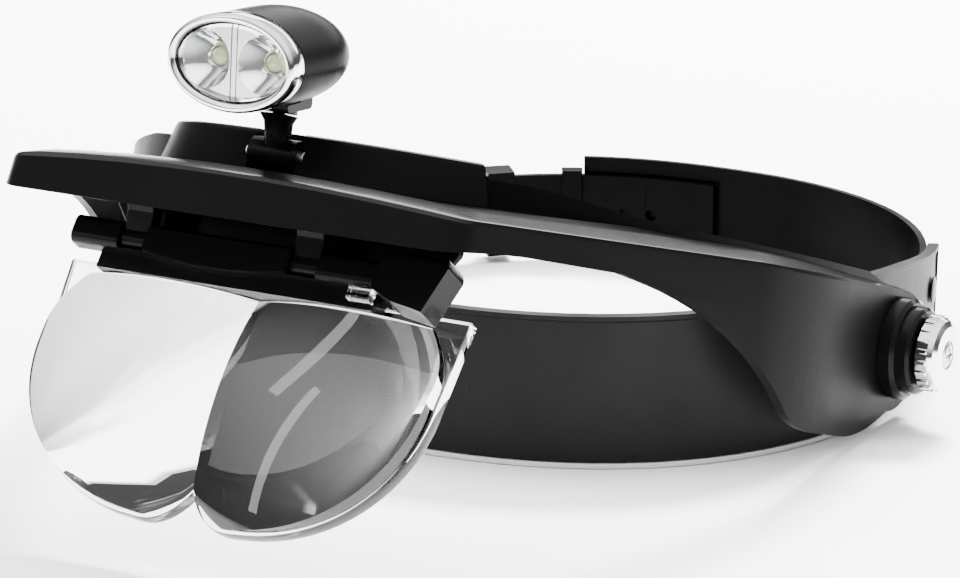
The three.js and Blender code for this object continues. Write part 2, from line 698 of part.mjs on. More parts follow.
// Edge of the head opening, and the same edge moved outwards
function openingPlan(outset, rear) {
  const shape = new THREE.Shape();
  const halfWidth = OPENING_HALF_WIDTH + outset;
  const front = OPENING_FRONT + outset;
  shape.moveTo(-halfWidth, rear);
  shape.lineTo(halfWidth, rear);
  const steps = 40;
  for (let i = 0; i <= steps; i += 1) {
    const angle = (Math.PI * i) / steps;
    const x = halfWidth * signedPower(Math.cos(angle), 2 / HEAD_ROUNDNESS);
    const y = -front * signedPower(Math.sin(angle), 2 / HEAD_ROUNDNESS);
    shape.lineTo(x, y);
  }
  return shape;
}

// Side view of everything that the visor keeps: skirt edge, S-curve, and the lobe round the pivot
function visorSide() {
  const ahead = BRIM_FRONT + 20;
  const shape = new THREE.Shape();
  shape.moveTo(-ahead, 60);
  shape.lineTo(-ahead, SKIRT_FRONT);
  shape.lineTo(-BRIM_FRONT, SKIRT_FRONT);
  shape.quadraticCurveTo(-BRIM_FRONT + 14, SKIRT_SIDE, -BRIM_FRONT + 30, SKIRT_SIDE);
  shape.lineTo(-LOBE_FRONT - 60, SKIRT_SIDE);
  shape.bezierCurveTo(-LOBE_FRONT - 36, SKIRT_SIDE - 3, -LOBE_FRONT - 18, -3, -LOBE_FRONT, LOBE_BOTTOM + 5.3);
  shape.quadraticCurveTo(-LOBE_FRONT + 5, LOBE_BOTTOM, -LOBE_FRONT + 18, LOBE_BOTTOM);
  shape.lineTo(-LOBE_FRONT + 32, LOBE_BOTTOM);
  shape.quadraticCurveTo(-LOBE_RADIUS + 2, LOBE_BOTTOM, 0, -LOBE_RADIUS);
  shape.absarc(0, 0, LOBE_RADIUS, -Math.PI / 2, radians(42));
  shape.quadraticCurveTo(8, BRIM_TOP - 0.5, 0, BRIM_TOP);
  shape.lineTo(-10, BRIM_TOP + 0.6);
  shape.lineTo(-24, RIM_TOP + 1);
  shape.lineTo(-90, 60);
  return shape;
}

// Side view of the rim, which climbs from the pivots to the crown
function rimSide() {
  const shape = new THREE.Shape();
  shape.moveTo(LOBE_RADIUS, 0);
  shape.lineTo(LOBE_RADIUS, RIM_TOP);
  shape.lineTo(-RIM_CLIMB_START, RIM_TOP);
  shape.lineTo(-RIM_KNEE, RIM_KNEE_TOP);
  shape.lineTo(-OPENING_FRONT + RIM_CLIMB_END, RIM_FRONT_TOP);
  shape.lineTo(-BRIM_FRONT, RIM_FRONT_TOP);
  shape.lineTo(-BRIM_FRONT, 0);
  return shape;
}

function crownPlan(inset) {
  const half = CROWN_HALF_WIDTH - inset;
  const radius = CROWN_RADIUS - inset;
  const centre = CROWN_RADIUS - CROWN_FRONT;
  const reach = Math.asin(half / radius);
  const shape = new THREE.Shape();
  shape.moveTo(half, -OPENING_FRONT + 24);
  shape.absarc(0, centre, radius, reach - Math.PI / 2, -reach - Math.PI / 2, true);
  shape.lineTo(-half, -OPENING_FRONT + 24);
  return shape;
}

function crownBody(levels) {
  return loft(levels.map(([z, inset]) => (
    crownPlan(inset).getPoints(16).map((point) => new THREE.Vector3(point.x, point.y, z))
  )));
}

function addVisorShell(parent) {
  const draft = (z) => (BRIM_DRAFT * (z - SKIRT_FRONT)) / (BRIM_TOP - SKIRT_FRONT);
  const shoulder = BRIM_TOP - BRIM_EDGE_ROUND;
  const outside = visorBody([
    [LOBE_BOTTOM - 8, 0, 0],
    [SKIRT_FRONT, 0, 0],
    [shoulder, 0, draft(shoulder)],
    [shoulder + BRIM_EDGE_ROUND * 0.7, BRIM_EDGE_ROUND * 0.3, draft(BRIM_TOP)],
    [BRIM_TOP, BRIM_EDGE_ROUND, draft(BRIM_TOP)],
    [BRIM_TOP + LEDGE_RISE * 0.75, BRIM_EDGE_ROUND + LEDGE_SPAN / 2, draft(BRIM_TOP)],
    [BRIM_TOP + LEDGE_RISE, BRIM_EDGE_ROUND + LEDGE_SPAN, draft(BRIM_TOP)],
  ]);
  const ceiling = BRIM_TOP - BRIM_WALL;
  const hollow = visorBody([
    [LOBE_BOTTOM - 20, ARM_WALL, 0],
    [SKIRT_FRONT, ARM_WALL, 0],
    [ceiling, ARM_WALL, draft(ceiling)],
    [ceiling, ARM_WALL + LEDGE_SPAN / 2, draft(ceiling)],
    [ceiling, ARM_WALL + LEDGE_SPAN, draft(ceiling)],
  ]);
  const rear = LOBE_RADIUS + 20;
  const opening = slab(openingPlan(0, rear), LOBE_BOTTOM - 30, 80);
  const rimRing = slab(openingPlan(RIM_WALL, rear), RIM_BOTTOM, CROWN_TOP);
  const rimOutside = keep(rimRing, sideSlab(rimSide(), -150, 150));
  const insideArms = box(-ARM_INNER - 0.6, ARM_INNER + 0.6, -BRIM_FRONT, 0, 0, 60);
  const crown = crownBody([
    [BRIM_TOP - BRIM_WALL, 0],
    [BRIM_TOP + LEDGE_RISE, 0],
    [CROWN_TOP - 1.5, CROWN_SLOPE],
    [CROWN_TOP - 0.4, CROWN_SLOPE + 0.5],
    [CROWN_TOP, CROWN_SLOPE + 1.5],
  ]);
  const pocket = cut(
    crownBody([[0, BRIM_WALL], [BRIM_TOP, BRIM_WALL], [CROWN_TOP - BRIM_WALL, CROWN_SLOPE + BRIM_WALL]]),
    slab(openingPlan(RIM_WALL, rear), -10, 80),
    box(-NOTCH_HALF_WIDTH - NOTCH_WALL, NOTCH_HALF_WIDTH + NOTCH_WALL, -200, -100, -10, 80),
  );
  const notch = box(-NOTCH_HALF_WIDTH, NOTCH_HALF_WIDTH, -CROWN_FRONT - 10, -NOTCH_BACK, NOTCH_FLOOR, 60);
  const footPinHole = pin(FOOT_PIN_RADIUS + GAP, -NOTCH_HALF_WIDTH - 1.6, NOTCH_HALF_WIDTH + 1.6, 16);
  const pivotHole = pin(BOLT_RADIUS + GAP, -ARM_OUTER - 5, ARM_OUTER + 5);
  const rim = keep(rimOutside, insideArms);
  const solid = join(cut(outside, hollow), rim, crown);
  const opened = cut(solid, pocket, opening, notch, footPinHole.translate(0, FOOT_Y, FOOT_Z), pivotHole);
  addPart('visor_shell', keep(opened, sideSlab(visorSide(), -150, 150, 10)), SATIN_BLACK, parent);
}

// The wall that hangs from the brim behind the lens hinge, with both ends sloped up to the brim
function hingeBracket(top) {
  const shape = new THREE.Shape();
  const flat = BRACKET_HALF_WIDTH - BRACKET_END_RUN;
  shape.moveTo(-BRACKET_HALF_WIDTH, top);
  shape.lineTo(-BRACKET_HALF_WIDTH, SKIRT_FRONT);
  shape.quadraticCurveTo(-flat - 2, BRACKET_BOTTOM + 1, -flat, BRACKET_BOTTOM);
  shape.lineTo(flat, BRACKET_BOTTOM);
  shape.quadraticCurveTo(flat + 2, BRACKET_BOTTOM + 1, BRACKET_HALF_WIDTH, SKIRT_FRONT);
  shape.lineTo(BRACKET_HALF_WIDTH, top);
  const front = HINGE_Y + BRACKET_FRONT;
  return frontSlab(shape, front, front + BRACKET_WALL, 5);
}

function addVisorFittings(parent) {
  sides((name, sign) => {
    const collar = turnedX([
      [BOLT_RADIUS + GAP, COLLAR_START],
      [COLLAR_RADIUS, COLLAR_START],
      [COLLAR_RADIUS, COLLAR_START + COLLAR_DEPTH - 1],
      [COLLAR_RADIUS - 1, COLLAR_START + COLLAR_DEPTH],
      [COLLAR_STEP_RADIUS, COLLAR_START + COLLAR_DEPTH],
      [COLLAR_STEP_RADIUS, COLLAR_END - 0.8],
      [COLLAR_STEP_RADIUS - 0.8, COLLAR_END],
      [BOLT_RADIUS + GAP, COLLAR_END],
      [BOLT_RADIUS + GAP, COLLAR_START],
    ], 24);
    if (sign < 0) collar.rotateZ(Math.PI);
    addPart(`pivot_collar_${name}`, collar, GLOSS_BLACK, parent);
  });
  const ceiling = BRIM_TOP - BRIM_WALL - CORNER_DROOP * 0.7 - GAP;
  LUG_PLACES.forEach((x, index) => {
    const name = ['left', 'right'][index];
    const half = LUG_HALF_WIDTH - RUNNING_GAP;
    const shape = new THREE.Shape();
    const shoulder = HINGE_Z + LUG_RADIUS + 4;
    shape.moveTo(HINGE_Y - LUG_STEM, HINGE_Z);
    shape.lineTo(HINGE_Y + LUG_STEM, HINGE_Z);
    shape.lineTo(HINGE_Y + LUG_STEM, shoulder);
    shape.lineTo(HINGE_Y + LUG_STEM + 3, ceiling);
    shape.lineTo(HINGE_Y - LUG_STEM - 3, ceiling);
    shape.lineTo(HINGE_Y - LUG_STEM, shoulder);
    const eye = pin(LUG_RADIUS, x - half, x + half).translate(0, HINGE_Y, HINGE_Z);
    const foot = box(x - half - 3, x + half + 3, HINGE_Y - 5, HINGE_Y + 5, ceiling - 2, ceiling);
    const bore = pin(HINGE_PIN_RADIUS + GAP, x - 20, x + 20, 16).translate(0, HINGE_Y, HINGE_Z);
    const lug = cut(join(sideSlab(shape, x - half, x + half), eye, foot), bore);
    addPart(`hinge_lug_${name}`, lug, GLOSS_BLACK, parent);
    const hingePin = pin(HINGE_PIN_RADIUS, x - HINGE_PIN_LENGTH / 2, x + HINGE_PIN_LENGTH / 2, 16);
    addPart(`hinge_pin_${name}`, hingePin.translate(0, HINGE_Y, HINGE_Z), STEEL, parent);
  });
  addPart('hinge_bracket', hingeBracket(ceiling - CORNER_DROOP / 2), SATIN_BLACK, parent);
  const footPin = pin(FOOT_PIN_RADIUS, -NOTCH_HALF_WIDTH - 1.3, NOTCH_HALF_WIDTH + 1.3, 16);
  addPart('lamp_foot_pin', footPin.translate(0, FOOT_Y, FOOT_Z), STEEL, parent);
}

// ---- Lens holder and lens -----------------------------------------------------------------

function addLensHolder(parent) {
  const bar = roundedBar(
    -BAR_HALF_LENGTH, END_BLOCK_START - GAP,
    BAR_FRONT, BAR_BACK, -BAR_HALF_HEIGHT, BAR_HALF_HEIGHT, 2.2,
  );
  const railBack = LENS_BACK + GAP;
  const rail = box(-RAIL_HALF_LENGTH, END_BLOCK_START - GAP, RAIL_FRONT, railBack, RAIL_BOTTOM, RAIL_TOP);
  const panelShape = new THREE.Shape();
  const [leftLug, rightLug] = LUG_PLACES;
  const panelFrom = rightLug + LUG_HALF_WIDTH;
  const panelTo = leftLug - LUG_HALF_WIDTH;
  panelShape.moveTo(panelFrom, 2);
  panelShape.lineTo(panelFrom, -BAR_HALF_HEIGHT);
  panelShape.quadraticCurveTo(
    (panelFrom + panelTo) / 2, -BAR_HALF_HEIGHT - 2 * PANEL_DROP, panelTo, -BAR_HALF_HEIGHT,
  );
  panelShape.lineTo(panelTo, 2);
  const panel = frontSlab(panelShape, BAR_FRONT - 0.8, 2);
  const flangeFront = LENS_BACK - FLANGE;
  const groove = box(
    -LENS_HALF_WIDTH - 5, LENS_HALF_WIDTH + 5,
    flangeFront - GAP, railBack + 1, RAIL_BOTTOM - 1, LENS_TOP + GAP,
  );
  const notches = LUG_PLACES.flatMap((x) => [
    box(x - LUG_HALF_WIDTH, x + LUG_HALF_WIDTH, -10, 12, -LUG_RADIUS - RUNNING_GAP, 10),
    pin(HINGE_PIN_RADIUS + RUNNING_GAP, x - HINGE_PIN_LENGTH / 2 - 1, x + HINGE_PIN_LENGTH / 2 + 1, 16),
  ]);
  const tenon = box(
    END_BLOCK_START - 1, BAR_HALF_LENGTH - 4, -TENON, TENON, -TENON, TENON,
  );
  const screwHoles = [-1, 1].map((sign) => clampScrewHole(sign));
  const holder = cut(join(bar, rail, panel, tenon), groove, ...notches, ...screwHoles);
  addPart('lens_bar', holder, GLOSS_BLACK, parent);
  addEndBlock(parent);
  addClamp(parent, railBack + GAP);
}

function clampScrewHole(sign) {
  const hole = pin(CLAMP_SCREW_RADIUS + GAP, BAR_BACK + 0.4, LENS_BACK + 20, 12).rotateZ(Math.PI / 2);
  return hole.translate(sign * CLAMP_SCREW_X, 0, CLAMP_SCREW_Z);
}

// The strip behind the lens flange, and its two screws
function addClamp(parent, face) {
  const strip = box(
    -RAIL_HALF_LENGTH, END_BLOCK_START - GAP, face, face + CLAMP_WALL, RAIL_BOTTOM, RAIL_TOP,
  );
  const holes = [-1, 1].map((sign) => clampScrewHole(sign));
  const lugClear = LUG_PLACES.map((x) => (
    box(x - LUG_HALF_WIDTH, x + LUG_HALF_WIDTH, 0, 20, -LUG_RADIUS - RUNNING_GAP, 10)
  ));
  addPart('lens_clamp_strip', cut(strip, ...holes, ...lugClear), GLOSS_BLACK, parent);
  for (const [name, sign] of [['left', 1], ['right', -1]]) {
    const head = face + CLAMP_WALL + GAP;
    const screw = turnedX([
      [0, BAR_BACK + 1],
      [CLAMP_SCREW_RADIUS, BAR_BACK + 1],
      [CLAMP_SCREW_RADIUS, head],
      [1.7, head],
      [1.7, head + 0.6],
      [1, head + 1.1],
      [0, head + 1.2],
    ], 16).rotateZ(Math.PI / 2);
    addPart(`clamp_screw_${name}`, screw.translate(sign * CLAMP_SCREW_X, 0, CLAMP_SCREW_Z), STEEL, parent);
  }
}

// The deep block that closes the bar's left end, with a rounded top and a slanted outer side
function addEndBlock(parent) {
  const shape = new THREE.Shape();
  const outer = BAR_HALF_LENGTH;
  shape.moveTo(END_BLOCK_START, END_BLOCK_BOTTOM + 4);
  shape.lineTo(END_BLOCK_START, END_BLOCK_TOP - 3);
  shape.lineTo(END_BLOCK_START + 5, END_BLOCK_TOP - 0.6);
  shape.quadraticCurveTo(END_BLOCK_START + 7, END_BLOCK_TOP, END_BLOCK_START + 9, END_BLOCK_TOP);
  shape.lineTo(outer - 3, END_BLOCK_TOP);
  shape.quadraticCurveTo(outer, END_BLOCK_TOP, outer, END_BLOCK_TOP - 3);
  shape.lineTo(outer - 3.2, END_BLOCK_BOTTOM);
  shape.lineTo(END_BLOCK_START + 6, END_BLOCK_BOTTOM + 1.5);
  const block = frontSlab(shape, END_BLOCK_FRONT, END_BLOCK_BACK, 5);
  const sideShape = new THREE.Shape();
  roundedRectangle(sideShape, END_BLOCK_FRONT, END_BLOCK_BACK, END_BLOCK_BOTTOM - 4, END_BLOCK_TOP, 2.5);
  const rounded = keep(block, sideSlab(sideShape, END_BLOCK_START - 1, outer + 1, 4));
  const socket = box(
    END_BLOCK_START - 1, BAR_HALF_LENGTH - 4 + GAP, -TENON - GAP, TENON + GAP, -TENON - GAP, TENON + GAP,
  );
  addPart('bar_end_block', cut(rounded, socket), GLOSS_BLACK, parent);
  const catchTop = -BAR_HALF_HEIGHT - GAP;
  const tab = roundedBar(27, 33, RAIL_FRONT - 3.4, RAIL_FRONT - GAP, RAIL_BOTTOM + 1, catchTop, 0.8);
  addPart('lens_catch', tab, CLEAR, parent);
}

// Front view of the lens plate, or of its domes when the top corners are drawn in
function lensOutline(inset, cornerWidth = 0) {
  const half = LENS_HALF_WIDTH - inset;
  const bottom = LENS_TOP - LENS_HEIGHT + inset;
  const shape = new THREE.Shape();
  const cornerEnd = LENS_TOP - (cornerWidth ? LOBE_CORNER_HEIGHT : 0);
  shape.moveTo(-half + cornerWidth, LENS_TOP);
  if (cornerWidth) shape.quadraticCurveTo(-half, (LENS_TOP + cornerEnd) / 2, -half + 1.1, cornerEnd);
  shape.lineTo(-half + 1.3, LENS_TOP - 24);
  shape.bezierCurveTo(-half + 2.5, LENS_TOP - 42, -38, bottom + 1, -14, bottom);
  shape.bezierCurveTo(-8, bottom - 0.8, -4, bottom + 1.5, 0, bottom + LENS_NOTCH);
  shape.bezierCurveTo(4, bottom + 1.5, 8, bottom - 0.8, 14, bottom);
  shape.bezierCurveTo(38, bottom + 1, half - 2.5, LENS_TOP - 42, half - 1.3, LENS_TOP - 24);
  if (cornerWidth) shape.lineTo(half - 1.1, cornerEnd);
  if (cornerWidth) shape.quadraticCurveTo(half, (LENS_TOP + cornerEnd) / 2, half - cornerWidth, LENS_TOP);
  else shape.lineTo(half, LENS_TOP);
  return shape;
}

function addLens(parent) {
  const flangeFront = LENS_BACK - FLANGE;
  const plate = frontSlab(lensOutline(0), flangeFront, LENS_BACK, 8);
  const sink = Math.sqrt(LOBE_SPHERE ** 2 - LOBE_EDGE_RADIUS ** 2);
  const domeArc = Math.asin(LOBE_EDGE_RADIUS / LOBE_SPHERE) * 1.06;
  const profile = [];
  const rings = 7;
  for (let i = 0; i <= rings; i += 1) {
    const angle = (domeArc * i) / rings;
    profile.push([LOBE_SPHERE * Math.sin(angle), sink - LOBE_SPHERE * Math.cos(angle)]);
  }
  const skirtDepth = profile[rings][1];
  const dome = (sign) => turnedX([...profile, [0, skirtDepth]], 40)
    .rotateZ(Math.PI / 2)
    .translate(sign * LOBE_OFFSET, flangeFront, LENS_TOP - LOBE_DROP);
  const inside = frontSlab(lensOutline(LOBE_MARGIN, LOBE_CORNER_WIDTH), -30, LENS_BACK - 0.5, 8);
  const belowTongue = box(-80, 80, -40, 40, LENS_TOP - 90, LENS_TOP - TONGUE);
  const domes = keep(keep(join(dome(1), dome(-1)), inside), belowTongue);
  addPart('lens_plate', join(plate, domes), CLEAR, parent);
}

// ---- Lamp ---------------------------------------------------------------------------------

function addLampArm(parent) {
  const half = NOTCH_HALF_WIDTH - RUNNING_GAP;
  const eye = pin(FOOT_RADIUS, -half, half);
  const rise = NECK_Z - FOOT_Z - GAP;
  const drift = NECK_Y - FOOT_Y;
  const level = (share, width, depth) => {
    const shape = new THREE.Shape();
    roundedRectangle(shape, -width / 2, width / 2, -depth / 2, depth / 2, Math.min(width, depth) * 0.4);
    return shape.getPoints(3).map((point) => (
      new THREE.Vector3(point.x, point.y + drift * share, rise * share)
    ));
  };
  const stem = loft([
    level(0, STEM_WIDTH, STEM_WIDTH),
    level(0.5, STEM_WIDTH, STEM_WIDTH),
    level(0.8, STEM_WIDTH * 1.1, STEM_WIDTH * 1.05),
    level(1, STEM_TOP_WIDTH, STEM_TOP_WIDTH),
  ]);
  const bore = pin(FOOT_PIN_RADIUS + RUNNING_GAP, -20, 20, 16);
  const neckBore = pin(PEG_RADIUS + RUNNING_GAP, rise - 5.4, rise + 5, 12).rotateY(-Math.PI / 2);
  addPart('lamp_stem', cut(join(eye, stem), bore, neckBore.translate(0, drift, 0)), GLOSS_BLACK, parent);
}

// Oval cross-section of the lamp at a distance along its axis
function lampOval(halfWidth, halfHeight, y, count = 28) {
  const points = [];
  for (let i = 0; i < count; i += 1) {
    const angle = (2 * Math.PI * i) / count;
    points.push(new THREE.Vector3(halfWidth * Math.cos(angle), y, LAMP_AXIS + halfHeight * Math.sin(angle)));
  }
  return points;
}

// The bullet form of the housing, or of its hollow when inset by a wall
function lampBullet(inset, front, rear) {
  const rings = [];
  const steps = 9;
  const length = rear - front;
  for (let i = 0; i <= steps; i += 1) {
    const share = Math.sin((i / steps) * (Math.PI / 2));
    const fall = Math.max(0, (share - 0.38) / 0.62);
    const size = Math.sqrt(Math.max(0, 1 - fall ** 2.4)) + (i === steps ? 0.12 : 0);
    const width = (LAMP_HALF_WIDTH - inset) * size;
    const height = (LAMP_HALF_HEIGHT - inset) * size;
    rings.push(lampOval(width, height, front + length * Math.min(share, 0.995)));
  }
  return loft(rings);
}

function addLampBody(parent) {
  const bodyFront = LAMP_FRONT + BEZEL_DEPTH + GAP;
  const shell = cut(
    lampBullet(0, bodyFront, LAMP_REAR),
    lampBullet(LAMP_WALL, bodyFront - 2, LAMP_REAR - LAMP_WALL),
    pin(SWITCH_RADIUS + RUNNING_GAP, 0, 40).rotateZ(Math.PI / 2).translate(0, 0, LAMP_AXIS),
  );
  addPart('lamp_housing', shell, DARK_GREY, parent);

  const bezelOutside = loft([
    lampOval(LAMP_HALF_WIDTH - 0.8, LAMP_HALF_HEIGHT - 0.8, LAMP_FRONT),
    lampOval(LAMP_HALF_WIDTH - 0.1, LAMP_HALF_HEIGHT - 0.1, LAMP_FRONT + 0.8),
    lampOval(LAMP_HALF_WIDTH + BEZEL_PROUD, LAMP_HALF_HEIGHT + BEZEL_PROUD, LAMP_FRONT + 4),
    lampOval(LAMP_HALF_WIDTH + BEZEL_PROUD, LAMP_HALF_HEIGHT + BEZEL_PROUD, LAMP_FRONT + BEZEL_DEPTH),
  ]);
  const mouthWidth = LAMP_HALF_WIDTH - BEZEL_RIM;
  const mouthHeight = LAMP_HALF_HEIGHT - BEZEL_RIM;
  const mouth = loft([
    lampOval(mouthWidth + 0.6, mouthHeight + 0.6, LAMP_FRONT - 1),
    lampOval(mouthWidth, mouthHeight, LAMP_FRONT + WINDOW_SET_BACK - 0.2),
    lampOval(mouthWidth, mouthHeight, LAMP_FRONT + BEZEL_DEPTH + 1),
  ]);
  addPart('lamp_bezel', cut(bezelOutside, mouth), CHROME, parent);

  const windowFace = LAMP_FRONT + WINDOW_SET_BACK;
  const pane = loft([
    lampOval(mouthWidth - GAP - 1, mouthHeight - GAP - 0.6, windowFace),
    lampOval(mouthWidth - GAP, mouthHeight - GAP, windowFace + 0.5),
    lampOval(mouthWidth - GAP, mouthHeight - GAP, windowFace + WINDOW_WALL),
  ]);
  addPart('lamp_window', pane, CLEAR, parent);
  addLampInsides(parent, windowFace + WINDOW_WALL + GAP, mouthWidth - GAP, mouthHeight - GAP);
}

function addLampInsides(parent, front, halfWidth, halfHeight) {
  const back = front + REFLECTOR_DEPTH;
  const bowl = [];
  const rings = 6;
  const bowlRadius = halfWidth / 2 - DIVIDER_HALF_WALL / 2 - 0.6;
  const bowlDepth = REFLECTOR_DEPTH - 1.6;
  for (let i = 0; i <= rings; i += 1) {
    const share = 1 - i / rings;
    bowl.push([bowlRadius * share, bowlDepth * (1 - share ** 2)]);
  }
  const block = loft([
    lampOval(halfWidth, halfHeight, front),
    lampOval(halfWidth - 0.6, halfHeight - 0.6, back),
  ]);
  sides((name, sign) => {
    const centre = sign * REFLECTOR_OFFSET;
    const dish = turnedX([[0, -3], [bowlRadius, -3], ...bowl], 20).rotateZ(Math.PI / 2);
    dish.scale(1, 1, 1.06).translate(centre, front, LAMP_AXIS);
    const ledHole = pin(LED_RADIUS + GAP, front - 5, front + 30, 20).rotateZ(Math.PI / 2);
    const near = DIVIDER_HALF_WALL + GAP;
    const half = sign > 0 ? box(near, 40, -60, 60, -20, 60) : box(-40, -near, -60, 60, -20, 60);
    const reflector = cut(keep(block, half), dish, ledHole.translate(centre, 0, LAMP_AXIS));
    addPart(`reflector_${name}`, reflector, CHROME, parent);
    const ledFront = front + bowlDepth - 2.4;
    const led = turnedX([
      [0, ledFront],
      [LED_RADIUS * 0.5, ledFront + 0.3],
      [LED_RADIUS * 0.86, ledFront + 1],
      [LED_RADIUS, ledFront + 2.2],
      [LED_RADIUS, back],
      [0, back],
    ], 20).rotateZ(Math.PI / 2);
    addPart(`led_${name}`, led.translate(centre, 0, LAMP_AXIS), LED_YELLOW, parent);
  });
  const divider = keep(block, box(-DIVIDER_HALF_WALL, DIVIDER_HALF_WALL, -60, 60, -20, 60));
  addPart('reflector_divider', divider, CHROME, parent);

  const boardFace = back + GAP;
  const boardWidth = halfWidth - 1.4;
  const boardHeight = halfHeight - 1.4;
  const board = loft([
    lampOval(boardWidth, boardHeight, boardFace, 24),
    lampOval(boardWidth, boardHeight, boardFace + BOARD_WALL, 24),
  ]);
  addPart('circuit_board', board, BOARD_GREEN, parent);

  let face = boardFace + BOARD_WALL + GAP;
  for (let i = 0; i < CELL_COUNT; i += 1) {
    const cell = turnedX([
      [0, face],
      [CELL_RADIUS - 0.8, face],
      [CELL_RADIUS, face + 0.6],
      [CELL_RADIUS, face + CELL_DEPTH],
      [0, face + CELL_DEPTH],
    ], 18).rotateZ(Math.PI / 2);
    addPart(`battery_cell_${i + 1}`, cell.translate(0, 0, LAMP_AXIS), STEEL, parent);
    face += CELL_DEPTH + GAP;
  }
  const switchRear = LAMP_REAR + SWITCH_PROUD;
  const contactEnd = LAMP_REAR - LAMP_WALL - 5.2;
  const coil = helix(3, face + SPRING_WIRE + 0.1, contactEnd, 2, SPRING_WIRE).rotateZ(Math.PI / 2);
  addPart('contact_spring', coil.translate(0, 0, LAMP_AXIS), STEEL, parent);
  const button = turnedX([
    [0, contactEnd + 1.4],
    [SWITCH_RADIUS, contactEnd + 1.4],
    [SWITCH_RADIUS, switchRear - 0.8],
    [SWITCH_RADIUS * 0.75, switchRear - 0.1],
    [0, switchRear],
  ], 24).rotateZ(Math.PI / 2);
  addPart('lamp_switch_button', button.translate(0, 0, LAMP_AXIS), GLOSS_BLACK, parent);
}

// The clip under the housing: a saddle on the housing's curve, with the peg that turns in the stem
function addLampNeck(parent) {
  const saddle = new THREE.Shape();
  roundedRectangle(saddle, -6, 5, 1.2, 6, 1.2);
  const block = sideSlab(saddle, -6, 6, 4);
  const clear = lampBullet(-GAP - 0.2, LAMP_FRONT + BEZEL_DEPTH + GAP, LAMP_REAR);
  const bezelClear = box(-30, 30, -40, LAMP_FRONT + BEZEL_DEPTH + 2 * GAP, -5, 40);
  const post = turnedX([
    [0, -4.6],
    [PEG_RADIUS, -4.6],
    [PEG_RADIUS, 0],
    [STEM_TOP_WIDTH / 2, 0],
    [STEM_TOP_WIDTH / 2, 2.4],
    [0, 2.4],
  ], 20).rotateY(-Math.PI / 2).rotateX(radians(-LAMP_DIP));
  addPart('lamp_clip', cut(join(block, post), clear, bezelClear), GLOSS_BLACK, parent);
}

// ---- Assembly -----------------------------------------------------------------------------

addHeadband(root);
addRearStrap(root);
addRivets(root);
addPivotFittings(root);
addKnobs(root);

const visor = new THREE.Group();
visor.position.set(0, PIVOT_Y, PIVOT_Z);
visor.rotation.x = radians(-VISOR_TILT);
root.add(visor);
addVisorShell(visor);
addVisorFittings(visor);

const lensHolder = new THREE.Group();
lensHolder.position.set(0, HINGE_Y, HINGE_Z);
lensHolder.rotation.x = radians(-LENS_LEAN);
visor.add(lensHolder);
addLensHolder(lensHolder);
addLens(lensHolder);

const lampArm = new THREE.Group();
lampArm.position.set(0, FOOT_Y, FOOT_Z);
visor.add(lampArm);
addLampArm(lampArm);

const lampHead = new THREE.Group();
lampHead.position.set(0, NECK_Y, NECK_Z);
lampHead.rotation.x = radians(LAMP_DIP);
visor.add(lampHead);
addLampBody(lampHead);
addLampNeck(lampHead);

// The origin is on the table, under the middle of the whole object
const model = new THREE.Group();
model.add(root);
model.updateMatrixWorld(true);
const bounds = new THREE.Box3().setFromObject(model, true);
root.position.set(
  -(bounds.min.x + bounds.max.x) / 2,
  -(bounds.min.y + bounds.max.y) / 2,
  -bounds.min.z,
);

export default model;
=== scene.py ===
# %% [markdown]
# # A head visor magnifier
#
# This is a hobbyist's magnifier that is worn on the head. A black headband carries a tilting visor, and
# the visor carries a clear plate with two domed lenses and a small battery lamp. The sizes and the places
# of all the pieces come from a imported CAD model, which is loaded first and is never moved. Blender's job
# is the looks: smooth surfaces, softened edges, a padded forehead and the finish of every material.

# %% Load the CAD frame
import json
import math

import bmesh
import bpy
from mathutils import Matrix, Vector, noise


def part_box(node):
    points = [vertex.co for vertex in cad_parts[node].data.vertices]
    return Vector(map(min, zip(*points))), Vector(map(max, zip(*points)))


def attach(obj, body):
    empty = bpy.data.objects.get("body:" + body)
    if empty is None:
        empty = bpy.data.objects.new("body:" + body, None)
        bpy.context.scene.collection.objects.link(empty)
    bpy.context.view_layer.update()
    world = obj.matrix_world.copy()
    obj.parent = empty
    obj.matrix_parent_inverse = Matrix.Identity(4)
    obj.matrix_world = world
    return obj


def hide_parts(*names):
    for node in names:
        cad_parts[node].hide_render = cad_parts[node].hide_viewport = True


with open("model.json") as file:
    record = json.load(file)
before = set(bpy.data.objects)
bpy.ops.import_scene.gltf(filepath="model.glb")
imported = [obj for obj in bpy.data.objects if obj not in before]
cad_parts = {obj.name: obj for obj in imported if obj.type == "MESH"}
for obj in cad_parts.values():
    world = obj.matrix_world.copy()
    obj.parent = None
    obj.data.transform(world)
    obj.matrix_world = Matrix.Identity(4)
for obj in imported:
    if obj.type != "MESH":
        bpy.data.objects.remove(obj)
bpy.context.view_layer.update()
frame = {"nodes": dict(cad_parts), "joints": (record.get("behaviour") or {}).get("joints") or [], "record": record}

MM = 0.001
NODE_BODY = {node: body for body, nodes in frame["record"]["behaviour"]["bodies"].items() for node in nodes}
JOINTS = {joint["name"]: joint for joint in frame["joints"]}

# %% [markdown]
# ## Writing shaders as sums
#
# A shader is a web of nodes, and a long web is hard to read as code. A small class wraps one socket, so
# that `1 - mask * 0.3` adds the Math nodes by itself. The other class owns a material and has a single
# method that makes any other node. With both, each finish below is a few lines that read like a recipe.

